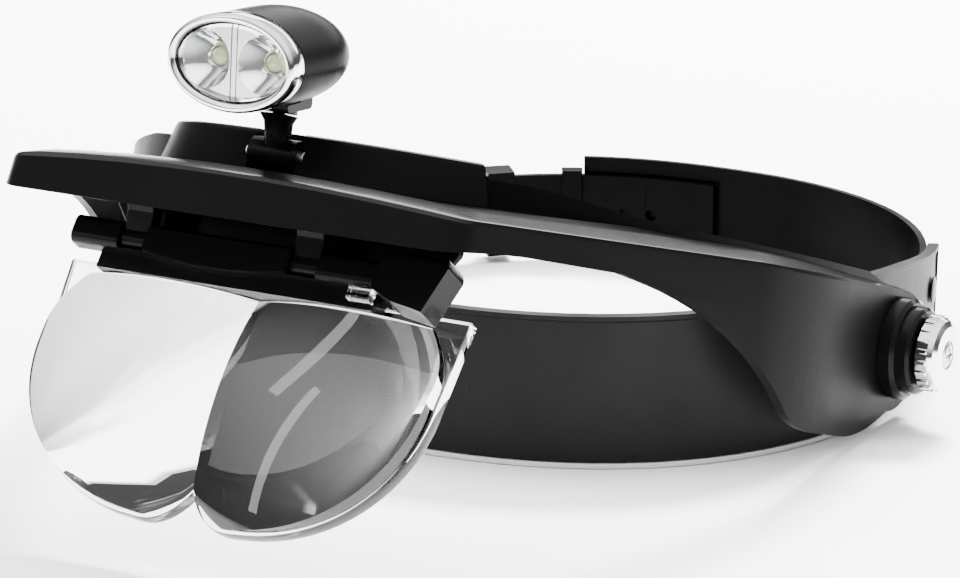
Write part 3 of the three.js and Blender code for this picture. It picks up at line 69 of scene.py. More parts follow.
# %% One socket, with arithmetic
class Wire:
    """An output socket that can be added, multiplied and so on."""

    def __init__(self, finish, socket):
        self.finish = finish
        self.socket = socket

    def math(self, operation, first, second):
        return self.finish.node("ShaderNodeMath", {"operation": operation}, {0: first, 1: second})

    def __add__(self, other):
        return self.math("ADD", self, other)

    def __radd__(self, other):
        return self.math("ADD", other, self)

    def __sub__(self, other):
        return self.math("SUBTRACT", self, other)

    def __rsub__(self, other):
        return self.math("SUBTRACT", other, self)

    def __mul__(self, other):
        return self.math("MULTIPLY", self, other)

    def __rmul__(self, other):
        return self.math("MULTIPLY", other, self)

# %% One material, with one way to add a node
class Finish:
    """A material with a Principled shader, and one method that makes any other node."""

    def __init__(self, name, **values):
        self.material = bpy.data.materials.new(name)
        self.material.use_nodes = True
        self.tree = self.material.node_tree
        self.shader = self.tree.nodes["Principled BSDF"]
        for key, value in values.items():
            self.set(key.replace("_", " "), value)

    def node(self, kind, settings=None, values=None, output=0):
        made = self.tree.nodes.new(kind)
        for key, value in (settings or {}).items():
            setattr(made, key, value)
        for key, value in (values or {}).items():
            self.feed(made.inputs[key], value)
        return Wire(self, made.outputs[output])

    def feed(self, socket, value):
        if isinstance(value, Wire):
            self.tree.links.new(value.socket, socket)
        elif isinstance(value, tuple) and len(value) == 3 and socket.type == "RGBA":
            socket.default_value = (*value, 1)
        else:
            socket.default_value = value

    def set(self, name, value):
        self.feed(self.shader.inputs[name], value)

    def place(self):
        """Where a point lies on the piece, in metres."""
        return self.node("ShaderNodeTexCoord", output="Object")

    def grain(self, scale, detail=2.0, at=None):
        values = {"Vector": at or self.place(), "Scale": scale, "Detail": detail}
        return self.node("ShaderNodeTexNoise", {"noise_dimensions": "3D"}, values)

    def between(self, value, low, high, low_out, high_out):
        values = {"Value": value, "From Min": low, "From Max": high, "To Min": low_out, "To Max": high_out}
        return self.node("ShaderNodeMapRange", {"clamp": True}, values)

    def blend(self, share, first, second):
        values = {0: share, 6: first, 7: second}
        return self.node("ShaderNodeMix", {"data_type": "RGBA"}, values, output=2)

    def bump(self, height, depth, strength=1.0):
        values = {"Height": height, "Distance": depth, "Strength": strength}
        self.set("Normal", self.node("ShaderNodeBump", None, values))


# %% [markdown]
# ## The black plastics
#
# Most of the magnifier is black ABS. The visor and the band come out of a mould with a fine spark-eroded
# texture, so they shine softly and in a broad patch, while the hinge parts come from a polished mould.
# The visor's mould is polished more on its upper half, so faces that point up also get a thin clear coat:
# that is what draws the pale line along its ledge when it is seen at a glancing angle.
# Real plastic is never evenly shiny: handling leaves faint rubbed patches and a little dust settles on
# top. Both are slow noise in the roughness, and the mould texture is fast noise in the bump.

# %% Moulded black plastic
def plastic(name, colour, roughness, grain_depth, grain_scale=1400.0, rubbed=0.08, dust=0.006,
            sheen=0.32, glaze=0.0):
    finish = Finish(name, IOR=1.46, Specular_IOR_Level=sheen, Coat_Roughness=0.14)
    patches = finish.grain(38.0, 4.0)
    specks = finish.grain(grain_scale, 2.0)
    rub = finish.between(patches, 0.35, 0.7, -rubbed, rubbed)
    finish.set("Roughness", roughness + rub + (specks - 0.5) * 0.06)
    facing = finish.node("ShaderNodeNewGeometry", output="Normal")
    up = finish.node("ShaderNodeSeparateXYZ", None, {"Vector": facing}, output="Z")
    drifts = finish.between(finish.grain(210.0, 5.0), 0.4, 0.75, 0.3, 1.0)
    settled = finish.between(up, 0.3, 1.0, 0.0, dust) * drifts
    lighter = tuple(c + 0.25 * (1 - c) for c in colour)
    finish.set("Base Color", finish.blend(settled, colour, lighter))
    finish.set("Coat Weight", finish.between(up, 0.6, 0.9, 0.0, glaze))
    finish.bump(specks, grain_depth)
    return finish.material


VISOR_BLACK = plastic("visor_black", (0.0035, 0.0035, 0.0036), 0.34, 0.00003, dust=0.003,
                      sheen=0.02, glaze=0.5)
BAND_BLACK = plastic("band_black", (0.006, 0.006, 0.0062), 0.42, 0.00003, dust=0.002, sheen=0.1)
# The straps get a darker black than the band: black plastic with painted shade, for the shade that falls inside
# the band.
STRAP_BLACK_PAINTED_SHADE = plastic("strap_black_painted_shade", (0.0008, 0.0008, 0.0009), 0.36, 0.00003, dust=0.001, sheen=0.02)
HINGE_BLACK = plastic("hinge_black", (0.0035, 0.0035, 0.0035), 0.22, 0.00001, 900.0, rubbed=0.04,
                      dust=0.002, sheen=0.06)
LAMP_GREY = plastic("lamp_grey", (0.005, 0.005, 0.0052), 0.3, 0.00002, 1200.0, rubbed=0.05, sheen=0.015)
# Pale colour for the band's bottom edge: a painted highlight, standing in for the bright line that this edge
# catches.
EDGE_PAINTED_HIGHLIGHT = plastic("pale_edge_painted_highlight", (0.72, 0.72, 0.70), 0.5, 0.00003, 900.0, dust=0.0)
BOARD = plastic("board_green", (0.02, 0.13, 0.05), 0.4, 0.00002, 700.0, dust=0.0)
print("plastics made")

# %% [markdown]
# ## The metals
#
# The knobs and the lamp's rim are chrome-plated, which is a nearly perfect mirror with a hint of haze
# where fingers touch it. The screws, pins and cells are plain steel, which a tool has turned, so its
# roughness changes in fine rings. Metalness stays at one and only the roughness and the bump vary.

# %% Chrome and steel
def metal(name, colour, roughness, haze, scratch_scale, scratch_depth):
    finish = Finish(name, Metallic=1.0)
    smudge = finish.between(finish.grain(120.0, 4.0), 0.45, 0.75, 0.0, haze)
    stretch = finish.node("ShaderNodeMapping", None, {"Vector": finish.place(), "Scale": (1.0, 0.08, 0.08)})
    lines = finish.grain(scratch_scale, 3.0, at=stretch)
    finish.set("Roughness", roughness + smudge + lines * (haze * 0.5))
    worn = tuple(c * 0.82 for c in colour)
    finish.set("Base Color", finish.blend(lines, worn, colour))
    finish.bump(lines, scratch_depth)
    return finish.material


CHROME = metal("chrome", (0.88, 0.89, 0.90), 0.05, 0.10, 1500.0, 0.000004)
MIRRORED = metal("metallised_reflector", (0.93, 0.94, 0.95), 0.04, 0.05, 900.0, 0.000003)
STEEL = metal("turned_steel", (0.58, 0.58, 0.59), 0.28, 0.14, 2600.0, 0.00001)
print("metals made")


# %% [markdown]
# ## The clear plate and the lamp's resin
#
# The lens plate is one injection moulding in clear acrylic. Glass in Cycles needs three things: full
# transmission, the right index of refraction, and a closed body so that light bends on the way in and out.
# Acrylic bends light less than glass, at 1.49, and a used lens has faint wiping marks, which show
# only as small changes of roughness. The light-emitting diodes are yellow phosphor under clear resin.

# %% Acrylic and resin
def acrylic(name, tint, marks):
    finish = Finish(name, Transmission_Weight=1.0, IOR=1.49, Base_Color=tint)
    wiped = finish.node("ShaderNodeMapping", None, {"Vector": finish.place(), "Scale": (1.0, 1.0, 0.25)})
    smears = finish.grain(60.0, 5.0, at=wiped)
    finish.set("Roughness", finish.between(smears, 0.55, 0.85, 0.0, marks))
    return finish.material


def resin(name, colour):
    finish = Finish(name, Roughness=0.12, Subsurface_Weight=0.2, Coat_Weight=1.0, Coat_Roughness=0.03)
    clouds = finish.grain(900.0, 3.0)
    deeper = tuple(c * 0.7 for c in colour)
    finish.set("Base Color", finish.blend(clouds, deeper, colour))
    return finish.material


LENS_CLEAR = acrylic("lens_acrylic", (0.985, 0.992, 0.995), 0.06)
LAMP_CLEAR = acrylic("lamp_window_clear", (0.99, 0.995, 1.0), 0.02)
LED_RESIN = resin("led_resin", (0.86, 0.80, 0.34))
print("clear finishes made")


# %% [markdown]
# ## The knitted pad cover
#
# The pad behind the forehead is foam in a knitted sleeve. Knit is rows of small loops, so two crossed wave
# patterns make the loops, noise makes them uneven, and sheen gives the soft edge that fibres have.

# %% Knitted fabric
def knit(name, dark, light):
    finish = Finish(name, Sheen_Weight=0.5, Sheen_Roughness=0.4, IOR=1.4)
    thread = {"Vector": finish.place(), "Distortion": 1.5, "Detail": 1.0}
    rows = finish.node("ShaderNodeTexWave", {"bands_direction": "Z"}, {**thread, "Scale": 190.0})
    wales = finish.node("ShaderNodeTexWave", {"bands_direction": "X"}, {**thread, "Scale": 150.0})
    loops = rows * 0.6 + wales * 0.4
    fuzz = finish.grain(800.0, 4.0)
    finish.set("Base Color", finish.blend(loops * 0.7 + fuzz * 0.3, dark, light))
    finish.set("Roughness", 0.8 + fuzz * 0.15)
    finish.bump(loops + fuzz * 0.5, 0.0003, 0.6)
    return finish.material


PAD_KNIT = knit("pad_knit", (0.018, 0.018, 0.019), (0.06, 0.06, 0.063))
print("fabric made")


# %% [markdown]
# ## From faceted CAD to smooth parts
#
# The CAD pieces are made of flat facets. Their shape is right, but a real moulding has no facets and no
# knife-sharp edges: even a crisp edge is rounded by a quarter of a millimetre, and that rounding is what
# catches the light. So each visible piece is copied, its flat neighbours are merged into whole faces,
# gentle corners between facets are shaded smooth, and sharp corners get a small bevel.

# %% Copy a CAD piece with softened edges
SMOOTH_UNDER = math.radians(31)
FLAT_UNDER = math.radians(0.6)
WELD_WITHIN = 0.002 * MM


def mesh_object(name, mesh, body, material):
    piece = bpy.data.objects.new(name, mesh)
    bpy.context.scene.collection.objects.link(piece)
    mesh.materials.clear()
    mesh.materials.append(material)
    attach(piece, body)
    return piece


def apply_modifiers(piece):
    """Turns what the modifiers show into the piece's own mesh."""
    bpy.context.view_layer.update()
    graph = bpy.context.evaluated_depsgraph_get()
    shown = bpy.data.meshes.new_from_object(piece.evaluated_get(graph))
    piece.modifiers.clear()
    piece.data = shown


def shade(mesh, angle=SMOOTH_UNDER):
    mesh.shade_smooth()
    mesh.set_sharp_from_angle(angle=angle)


def softened(node, material, width=0.25, segments=2, angle=SMOOTH_UNDER):
    """A copy of a CAD piece with its flat faces whole, its curves smooth and its edges rounded."""
    shape = bmesh.new()
    shape.from_mesh(frame["nodes"][node].data)
    bmesh.ops.remove_doubles(shape, verts=shape.verts, dist=WELD_WITHIN)
    bmesh.ops.dissolve_limit(shape, angle_limit=FLAT_UNDER, verts=shape.verts, edges=shape.edges)
    mesh = bpy.data.meshes.new(node + "_form")
    shape.to_mesh(mesh)
    shape.free()
    shade(mesh, angle)
    piece = mesh_object(node + "_moulding", mesh, NODE_BODY[node], material)
    bevel = piece.modifiers.new("edges", "BEVEL")
    bevel.width = width * MM
    bevel.segments = segments
    bevel.limit_method = "ANGLE"
    bevel.angle_limit = angle
    weighted = piece.modifiers.new("normals", "WEIGHTED_NORMAL")
    weighted.keep_sharp = True
    apply_modifiers(piece)
    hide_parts(node)
    return piece


# %% [markdown]
# ## The headband
#
# The band is a strip of black plastic that has been formed into an oval. Its top edge is rolled outwards
# into a small lip. Along the bottom edge, where the band rests on a table, a pale strip is a painted highlight: it
# stands in for the bright line that this edge catches.
# Behind the temples it takes over two straps, one wide and one narrow, which slide past each other.

# %% Band, painted edge highlight and straps
softened("forehead_band", BAND_BLACK, 0.35, 3)
# The bottom edge is painted pale: a painted highlight in place of the bright line that the edge catches.
softened("band_edge_trim", EDGE_PAINTED_HIGHLIGHT, 0.3, 3)
straps = ("rear_strap_wide", "rear_strap_narrow", "strap_guide_loop", "size_lock_housing")
# The straps' darker black is partly painted shade: the shade inside the band, painted into their colour.
for node in straps:
    softened(node, STRAP_BLACK_PAINTED_SHADE, 0.3, 2)
softened("size_lock_button", HINGE_BLACK, 0.15)
rivets = [node for node in NODE_BODY if node.startswith("strap_rivet_")]
for node in rivets:
    softened(node, HINGE_BLACK, 0.12, 2, math.radians(40))
print("band made, with", len(straps), "strap pieces and", len(rivets), "rivets")

# %% [markdown]
# ## Temple pivots and knobs
#
# On each side a bolt passes through the band, the visor's arm and a stepped collar, and a knurled chrome
# knob on the bolt's end clamps them. The knurls and the counterbored screw are already in the CAD, so
# the work here is the rounding of each ridge, since chrome shows an edge only by its highlight.

# %% Pivots
for side in ("left", "right"):
    softened("pivot_bolt_" + side, STEEL, 0.2)
    softened("temple_bush_" + side, HINGE_BLACK, 0.2)
    softened("pivot_collar_" + side, HINGE_BLACK, 0.35, 3)
    softened("tension_knob_" + side, CHROME, 0.18, 2)
    softened("knob_screw_" + side, STEEL, 0.1)
print("pivots made")

# %% [markdown]
# ## The visor
#
# The visor is one large moulding: a brim in front with a shallow crown on it, and two arms that sweep back
# to the pivots. It was drawn with all its openings in the CAD, so it is carried over, with a wider rounding
# on its edges than the small parts have, because a big moulding has bigger corner radii.

# %% Visor shell and what is fixed to it
softened("visor_shell", VISOR_BLACK, 0.5, 3)
for side in ("left", "right"):
    softened("hinge_lug_" + side, HINGE_BLACK, 0.25)
    softened("hinge_pin_" + side, STEEL, 0.12)
softened("hinge_bracket", HINGE_BLACK, 0.4, 2)
softened("lamp_foot_pin", STEEL, 0.12)
print("visor made")

# %% [markdown]
# ## The lens bar
#
# A glossy bar hangs from two lugs under the brim and grips the top of the lens plate. Its end block is
# a separate cap, the little tongue beside it is the catch that holds the plate, and a strip with two
# screws clamps the plate from behind.

# %% Lens holder
softened("lens_bar", HINGE_BLACK, 0.3, 2)
softened("bar_end_block", HINGE_BLACK, 0.5, 3)
softened("lens_catch", LAMP_CLEAR, 0.15)
softened("lens_clamp_strip", HINGE_BLACK, 0.25)
for side in ("left", "right"):
    softened("clamp_screw_" + side, STEEL, 0.1)
print("lens holder made")

# %% [markdown]
# ## Shapes that must be truly smooth
#
# Some pieces can't be softened copies: light passes through the lens, and bends wrongly at every facet, and
# the chrome rim and the lamp's rounded back show each facet as a broken highlight. These are made again at a
# fine resolution, from the same sizes as the CAD. A loft joins matching loops of points into a body, and a
# Boolean modifier cuts one body with another, as a lathe operator would bore a hole.

# %% Tools for fine shapes
def signed_power(value, power):
    return math.copysign(abs(value) ** power, value)


def loft(loops, closed=False):
    """A mesh through matching closed loops; the ends are capped unless the last loop meets the first."""
    size = len(loops[0])
    points = [point for loop in loops for point in loop]
    pairs = list(zip(range(len(loops)), range(1, len(loops))))
    if closed:
        pairs.append((len(loops) - 1, 0))
    faces = []
    for a, b in pairs:
        for i in range(size):
            j = (i + 1) % size
            faces.append((a * size + i, a * size + j, b * size + j, b * size + i))
    if not closed:
        faces.append(tuple(reversed(range(size))))
        faces.append(tuple((len(loops) - 1) * size + i for i in range(size)))
    mesh = bpy.data.meshes.new("loft")
    mesh.from_pydata(points, [], faces)
    shape = bmesh.new()
    shape.from_mesh(mesh)
    bmesh.ops.recalc_face_normals(shape, faces=shape.faces)
    shape.to_mesh(mesh)
    shape.free()
    return mesh


def boolean(target, operation, tool_mesh):
    """Joins, cuts or keeps part of one mesh with another."""
    body = bpy.data.objects.new("body", target)
    tool = bpy.data.objects.new("tool", tool_mesh)
    for each in (body, tool):
        bpy.context.scene.collection.objects.link(each)
    step = body.modifiers.new("step", "BOOLEAN")
    step.operation = operation
    step.object = tool
    step.solver = "EXACT"
    apply_modifiers(body)
    result = body.data
    for each in (body, tool):
        bpy.data.objects.remove(each)
    return result


def placed(mesh, name, node, material, matrix, smooth_under):
    """A finished mesh, put where its CAD node is and shown in its stead."""
    mesh.transform(matrix)
    shade(mesh, smooth_under)
    piece = mesh_object(name, mesh, NODE_BODY[node], material)
    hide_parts(node)
    print(name, len(mesh.polygons), "faces")
    return piece


# %% [markdown]
# ## The lens plate
#
# The plate is one clear moulding: a flat flange with a notch for the nose, and two domes that bulge towards
# the work. Each dome is part of a large sphere, which is what makes it magnify, so it is turned here as
# a true arc and trimmed to the plate's outline. The place and the tilt come from the hinge in the frame.

# %% Lens plate
LENS_LEAN = math.radians(20.6)
LENS_TOP = -4.6
LENS_BACK = 9.8
LENS_FLANGE = 3.6
LENS_HALF_WIDTH = 55.0
LENS_HEIGHT = 60.3
LENS_NOTCH = 8.0
LENS_TONGUE = 3.9
DOME_OFFSET = 25.0
DOME_DROP = 26.5
DOME_EDGE = 36.0
DOME_SPHERE = 70.0
DOME_MARGIN = 0.9
DOME_CORNER = (7.0, 20.0)
DOME_OVERRUN = 1.08
DOME_TIP = 0.02
DOME_RINGS = 30
DOME_AROUND = 144

swivel_axis = Vector(JOINTS["lamp_swivel"]["axis"])
VISOR_TILT = math.atan2(swivel_axis.y, swivel_axis.z)


def at_joint(joint, turn):
    """From a piece's own millimetres to its place on the model: at a joint, turned about X."""
    place = Matrix.Translation(Vector(JOINTS[joint]["pos_m"]))
    return place @ Matrix.Rotation(turn, 4, "X") @ Matrix.Scale(MM, 4)


def curve(*controls, steps=14):
    """Points along a Bezier curve of any order, without its first point."""
    points = []
    for step in range(1, steps + 1):
        share = step / steps
        row = [Vector(control) for control in controls]
        while len(row) > 1:
            row = [a.lerp(b, share) for a, b in zip(row, row[1:])]
        points.append(row[0])
    return points


def lens_outline(inset, top, corner=None):
    """Front view of the plate, or of its domes when the top corners are drawn in."""
    half = LENS_HALF_WIDTH - inset
    bottom = LENS_TOP - LENS_HEIGHT + inset
    side = (half - 1.3, LENS_TOP - 24)
    if corner:
        width, height = corner
        start = (half - width, top)
        elbow = (half, (top + LENS_TOP - height) / 2)
        right = [Vector(start)] + curve(start, elbow, (half - 1.1, LENS_TOP - height))
        right.append(Vector(side))
    else:
        right = [Vector((half, top)), Vector(side)]
    right += curve(side, (half - 2.5, LENS_TOP - 42), (38, bottom + 1), (14, bottom), steps=20)
    right += curve((14, bottom), (8, bottom - 0.8), (4, bottom + 1.5), (0, bottom + LENS_NOTCH))
    left = [Vector((-point.x, point.y)) for point in reversed(right[:-1])]
    return right + left


def front_slab(outline, y0, y1):
    return loft([[(point.x, y, point.y) for point in outline] for y in (y0, y1)])


def dome(sign, front):
    """A slice of a sphere, turned about the lens's own axis."""
    sink = math.sqrt(DOME_SPHERE ** 2 - DOME_EDGE ** 2)
    reach = math.asin(DOME_EDGE / DOME_SPHERE) * DOME_OVERRUN
    centre_x, centre_z = sign * DOME_OFFSET, LENS_TOP - DOME_DROP
    loops = []
    for ring in range(DOME_RINGS + 1):
        angle = reach * (ring + DOME_TIP) / DOME_RINGS
        radius = DOME_SPHERE * math.sin(angle)
        depth = sink - DOME_SPHERE * math.cos(angle)
        turns = [2 * math.pi * i / DOME_AROUND for i in range(DOME_AROUND)]
        loops.append([
            (centre_x + radius * math.cos(a), front + depth, centre_z + radius * math.sin(a)) for a in turns
        ])
    return loft(loops)


def softened_slab(mesh, width):
    shape = bmesh.new()
    shape.from_mesh(mesh)
    rim = [edge for edge in shape.edges if edge.calc_face_angle(0) > math.radians(60)]
    bmesh.ops.bevel(shape, geom=rim, offset=width, segments=3, affect="EDGES", profile=0.5)
    shape.to_mesh(mesh)
    shape.free()
    return mesh


flange_front = LENS_BACK - LENS_FLANGE
plate = softened_slab(front_slab(lens_outline(0, LENS_TOP), flange_front, LENS_BACK), 0.35)
trim_outline = lens_outline(DOME_MARGIN, LENS_TOP - LENS_TONGUE, DOME_CORNER)
trim = front_slab(trim_outline, -30, LENS_BACK - 0.5)
domes = boolean(dome(1, flange_front), "UNION", dome(-1, flange_front))
domes = boolean(domes, "INTERSECT", trim)
placed(boolean(domes, "UNION", plate), "lens_plate_moulding", "lens_plate", LENS_CLEAR,
       at_joint("lens_flip", -VISOR_TILT - LENS_LEAN), math.radians(22))

# %% [markdown]
# ## The lamp
#
# The lamp is a bullet-shaped housing with a chrome rim, a clear window and two bright bowls, each with a
# light-emitting diode. It turns on a peg in its stem, and the stem tips on a pin in the visor's crown. The
# housing and the rim are lofted from ovals, because their shine would give away any facet.

# %% Lamp housing and rim
LAMP_DIP = math.radians(13.6)
LAMP_AXIS = 14.2
LAMP_FRONT = -23.0
LAMP_REAR = 15.0
LAMP_HALF_WIDTH = 17.0
LAMP_HALF_HEIGHT = 11.4
LAMP_WALL = 1.6
BEZEL_DEPTH = 5.5
BEZEL_PROUD = 0.1
BEZEL_RIM = 2.2
BEZEL_NOSE = 1.3
SWITCH_HOLE = 3.6
GAP = 0.3
AROUND = 96
BULLET_STEPS = 30
BULLET_STRAIGHT = 0.38
BULLET_ROUNDNESS = 2.4
BULLET_TIP = 0.12


def oval(inset, y, size=1.0):
    """One oval section of the lamp, square to its axis."""
    loop = []
    for i in range(AROUND):
        angle = 2 * math.pi * i / AROUND
        x = (LAMP_HALF_WIDTH - inset) * size * math.cos(angle)
        z = (LAMP_HALF_HEIGHT - inset) * size * math.sin(angle)
        loop.append((x, y, LAMP_AXIS + z))
    return loop


def bullet(inset, front, rear):
    """A body of oval sections, straight at first and rounded off at the back."""
    loops = []
    for step in range(BULLET_STEPS + 1):
        share = math.sin(step / BULLET_STEPS * math.pi / 2)
        fall = max(0.0, (share - BULLET_STRAIGHT) / (1 - BULLET_STRAIGHT))
        size = max(math.sqrt(max(0.0, 1 - fall ** BULLET_ROUNDNESS)), BULLET_TIP)
        loops.append(oval(inset, front + (rear - front) * min(share, 0.995), size))
    return loft(loops)


def disc_bar(radius, y0, y1):
    """A round bar along the lamp's axis."""
    loops = []
    for y in (y0, y1):
        angles = [2 * math.pi * i / 48 for i in range(48)]
        loops.append([(radius * math.cos(a), y, LAMP_AXIS + radius * math.sin(a)) for a in angles])
    return loft(loops)


LAMP_PLACE = at_joint("lamp_swivel", LAMP_DIP - VISOR_TILT)
body_front = LAMP_FRONT + BEZEL_DEPTH + GAP
housing = boolean(bullet(0, body_front, LAMP_REAR), "DIFFERENCE",
                  bullet(LAMP_WALL, body_front - 2, LAMP_REAR - LAMP_WALL))
housing = boolean(housing, "DIFFERENCE", disc_bar(SWITCH_HOLE, 0, 40))
placed(housing, "lamp_housing_shell", "lamp_housing", LAMP_GREY, LAMP_PLACE, math.radians(35))


def bezel_loops():
    """The rim's section, from the window's seat over the rounded front to the housing."""
    back = LAMP_FRONT + BEZEL_DEPTH
    outer = -BEZEL_PROUD
    section = [(BEZEL_RIM, back), (BEZEL_RIM, LAMP_FRONT + 1.6)]
    middle = (BEZEL_RIM + outer) / 2
    radius = (BEZEL_RIM - outer) / 2
    for step in range(13):
        angle = math.pi * step / 12
        front = LAMP_FRONT + BEZEL_NOSE * (1 - math.sin(angle))
        section.append((middle + radius * math.cos(angle) * 0.96, front))
    section += [(outer, LAMP_FRONT + 3), (outer, back - 0.3), (outer + 0.3, back)]
    return [oval(inset, y) for inset, y in section]


placed(loft(bezel_loops(), closed=True), "lamp_bezel_ring", "lamp_bezel", CHROME,
       LAMP_PLACE, math.radians(50))

# %% Other lamp pieces
softened("lamp_stem", HINGE_BLACK, 0.3, 2)
softened("lamp_clip", HINGE_BLACK, 0.2)
softened("lamp_window", LAMP_CLEAR, 0.1)
softened("lamp_switch_button", HINGE_BLACK, 0.2)
for node in ("reflector_left", "reflector_right", "reflector_divider"):
    softened(node, MIRRORED, 0.08)
for side in ("left", "right"):
    softened("led_" + side, LED_RESIN, 0.05)
print("lamp made")

# %% Pieces inside
INSIDE = {"circuit_board": BOARD, "contact_spring": STEEL, "size_lock_spring": STEEL}
INSIDE.update({f"battery_cell_{i}": STEEL for i in (1, 2, 3)})
for node, material in INSIDE.items():
    part = frame["nodes"][node]
    part.data.materials.clear()
    part.data.materials.append(material)
print("inside pieces", len(INSIDE))

# %% [markdown]
# ## The forehead pad
#
# A strip of foam in a knitted sleeve lies behind the band. Foam in a sleeve is crowned: thickest along its
# middle, thin at its edges, and pinched where a seam is sewn through it. One closed strip is lofted along
# the band's oval, with its thickness pulled in at the seams and at both ends.

# %% Pad
PAD_LOW, PAD_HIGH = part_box("forehead_pad")
BAND_LOW, BAND_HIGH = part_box("forehead_band")
BAND_LIP = 0.7 * MM
HEAD_HALF_WIDTH = BAND_HIGH.x - BAND_LIP
HEAD_FRONT = 92.3 * MM
HEAD_CENTRE = BAND_LOW.y + HEAD_FRONT + BAND_LIP
HEAD_ROUNDNESS = 2.23
PAD_FACE = 2.7 * MM
PAD_THICKNESS = 5.8 * MM
PAD_END = 61.5
SEAM_PITCH = 15.5
SEAM_WIDTH = 0.8
SEAM_PINCH = 0.45
END_SHARE = 0.25
PAD_STEPS = 260
PAD_AROUND = 28
PUCKER = 0.22 * MM


def ring_point(angle, inset, z):
    """A point on the headband's oval, at an angle in degrees from the middle of the forehead."""
    side, ahead = math.sin(math.radians(angle)), math.cos(math.radians(angle))
    x = (HEAD_HALF_WIDTH - inset) * signed_power(side, 2 / HEAD_ROUNDNESS)
    y = -(HEAD_FRONT - inset) * signed_power(ahead, 2 / HEAD_ROUNDNESS)
    return (x, HEAD_CENTRE + y, z)


def pad_section(angle):
    """One closed section of the pad, thinner at a seam and at the pad's ends."""
    seam = math.exp(-((((angle + SEAM_PITCH / 2) % SEAM_PITCH) - SEAM_PITCH / 2) / SEAM_WIDTH) ** 2)
    end = math.sqrt(max(0.0, 1 - (abs(angle) / PAD_END) ** 16))
    thickness = PAD_THICKNESS * (1 - SEAM_PINCH * seam) * (END_SHARE + (1 - END_SHARE) * end)
    middle = (PAD_LOW.z + PAD_HIGH.z) / 2
    half = (PAD_HIGH.z - PAD_LOW.z) / 2 * (0.9 + 0.1 * end) * (1 - 0.02 * seam)
    loop = []
    for i in range(PAD_AROUND):
        turn = 2 * math.pi * i / PAD_AROUND
        across, up = math.cos(turn), math.sin(turn)
        crown = 1 - 0.3 * up * up * (1 if across > 0 else 0)
        inset = PAD_FACE + thickness * crown * (0.5 + 0.5 * signed_power(across, 0.6))
        z = middle + half * signed_power(up, 0.55)
        pucker = noise.noise(Vector((angle * 0.35, z * 260, 3.0 if across > 0 else 7.0)))
        loop.append(ring_point(angle, inset + (PUCKER * pucker if across > 0.2 else 0), z))
    return loop


pad_mesh = loft([pad_section(-PAD_END + 2 * PAD_END * i / PAD_STEPS) for i in range(PAD_STEPS + 1)])
pad_mesh.shade_smooth()
pad = mesh_object("forehead_pad_cover", pad_mesh, "headband", PAD_KNIT)
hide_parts("forehead_pad")
print("pad faces", len(pad_mesh.polygons))

# %% [markdown]
# ## Floor, light and camera
#
# The magnifier lies on a pale seamless floor under large soft lights. The camera stands well back with a
# long lens, which keeps the near knob and the far corner of the visor at nearly the same scale.

# %% Floor and world
FLOOR_SIZE = 6.0
floor_mesh = bpy.data.meshes.new("floor")
corners = [(-1, -1), (1, -1), (1, 1), (-1, 1)]
floor_mesh.from_pydata([(x * FLOOR_SIZE, y * FLOOR_SIZE, -0.0002) for x, y in corners], [], [(0, 1, 2, 3)])
floor = bpy.data.objects.new("floor", floor_mesh)
bpy.context.scene.collection.objects.link(floor)
ground = Finish("pale_floor", Roughness=0.6)
ground.set("Base Color", ground.blend(ground.grain(2.0), (0.94, 0.94, 0.94), (0.96, 0.96, 0.96)))
floor_mesh.materials.append(ground.material)

# %% [markdown]
# The room is bright overhead and dim near the horizon. That is what keeps black plastic black: its upright
# sides mirror the horizon, while the floor is lit from above and stays pale. Chrome needs the same
# contrast, because a mirror in an all-white room looks like white paint.

# %% Studio world
ZENITH = 2.7
HORIZON = 0.1
DIM_BELOW = 0.12
BRIGHT_ABOVE = 0.85


class Sky(Finish):
    """The world's shader, wired with the same methods as a material."""

    def __init__(self, name):
        self.world = bpy.data.worlds.new(name)
        self.world.use_nodes = True
        self.tree = self.world.node_tree
        self.shader = self.tree.nodes["Background"]


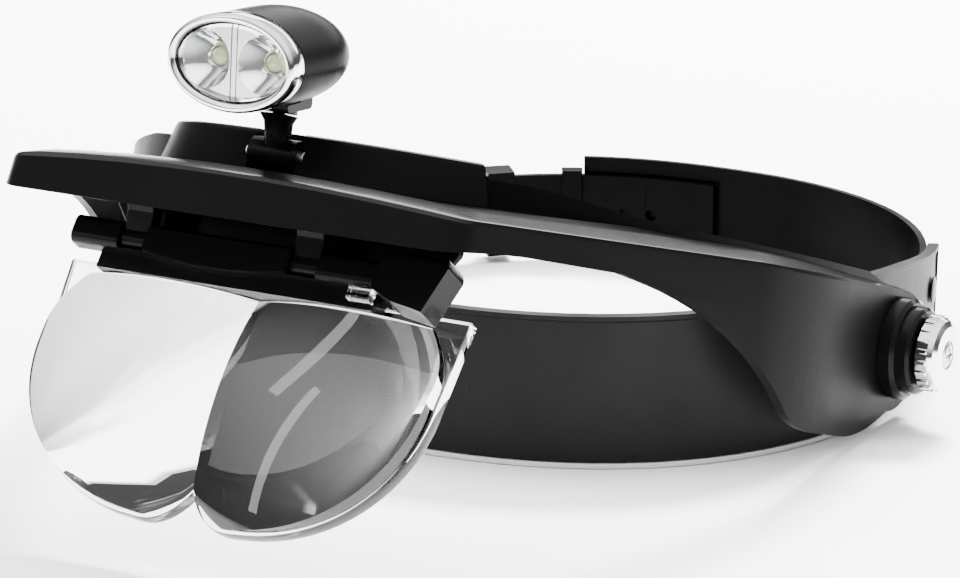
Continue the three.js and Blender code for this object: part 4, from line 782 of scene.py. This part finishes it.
sky = Sky("studio")
direction = sky.node("ShaderNodeTexCoord", output="Generated")
height = sky.node("ShaderNodeSeparateXYZ", None, {"Vector": direction}, output="Z")
climb = {"Value": height, "From Min": DIM_BELOW, "From Max": BRIGHT_ABOVE}
climb.update({"To Min": HORIZON, "To Max": ZENITH})
sky.set("Strength", sky.node("ShaderNodeMapRange", {"interpolation_type": "SMOOTHSTEP"}, climb))
sky.set("Color", (1, 1, 1))
bpy.context.scene.world = sky.world
print("world from", HORIZON, "to", ZENITH)

# %% [markdown]
# Four area lights finish the studio. The broad one overhead and the small one high behind only light the
# floor and cast the shadow: they are hidden from mirrors and lenses, where they would show as white panes.
# The low one behind is there for its glancing reflection on the ledge, and the thin upright strip in front
# is there for the long curved streaks that it draws on the lens.

# %% Lights
def soft_light(name, place, target, size, power, mirrored=True, seen_through=True):
    data = bpy.data.lights.new(name, "AREA")
    data.shape = "RECTANGLE"
    data.size, data.size_y = size
    data.energy = power
    light = bpy.data.objects.new(name, data)
    light.location = place
    light.visible_glossy = mirrored
    light.visible_transmission = seen_through
    light.rotation_euler = (Vector(target) - Vector(place)).to_track_quat("-Z", "Y").to_euler()
    bpy.context.scene.collection.objects.link(light)


soft_light("overhead", (-0.2, 0.3, 1.4), (0, 0, 0), (1.4, 1.2), 75, mirrored=False, seen_through=False)
soft_light("rear_key", (-0.1, 0.9, 1.1), (0, 0, 0), (0.4, 0.25), 120, mirrored=False, seen_through=False)
soft_light("rear_glow", (-0.2, 1.5, 0.6), (0, 0, 0.1), (1.6, 0.4), 12, seen_through=False)
soft_light("front_left", (-0.9, -1.2, 0.8), (0, 0, 0.05), (0.12, 1.4), 4)
print("lights", len(bpy.data.lights))

# %% [markdown]
# The camera looks from the front and a little to the wearer's left, from just above the brim, so that the
# band, the arm and both lenses are all seen. Its place is in metres, and its turn and tilt are in degrees.

# %% Camera
VIEW_PLACE = Vector((0.5029, -0.9039, 0.3375))
VIEW_AZIMUTH = math.radians(29.14)
VIEW_ELEVATION = math.radians(16.51)
FOCAL_LENGTH = 157.5
camera_data = bpy.data.cameras.new("camera")
camera_data.lens = FOCAL_LENGTH
camera_data.sensor_width = 36
camera_data.clip_end = 30
camera = bpy.data.objects.new("camera", camera_data)
camera.location = VIEW_PLACE
camera.rotation_euler = (math.pi / 2 - VIEW_ELEVATION, 0, VIEW_AZIMUTH)
bpy.context.scene.collection.objects.link(camera)
bpy.context.scene.camera = camera
print("camera at", tuple(VIEW_PLACE))
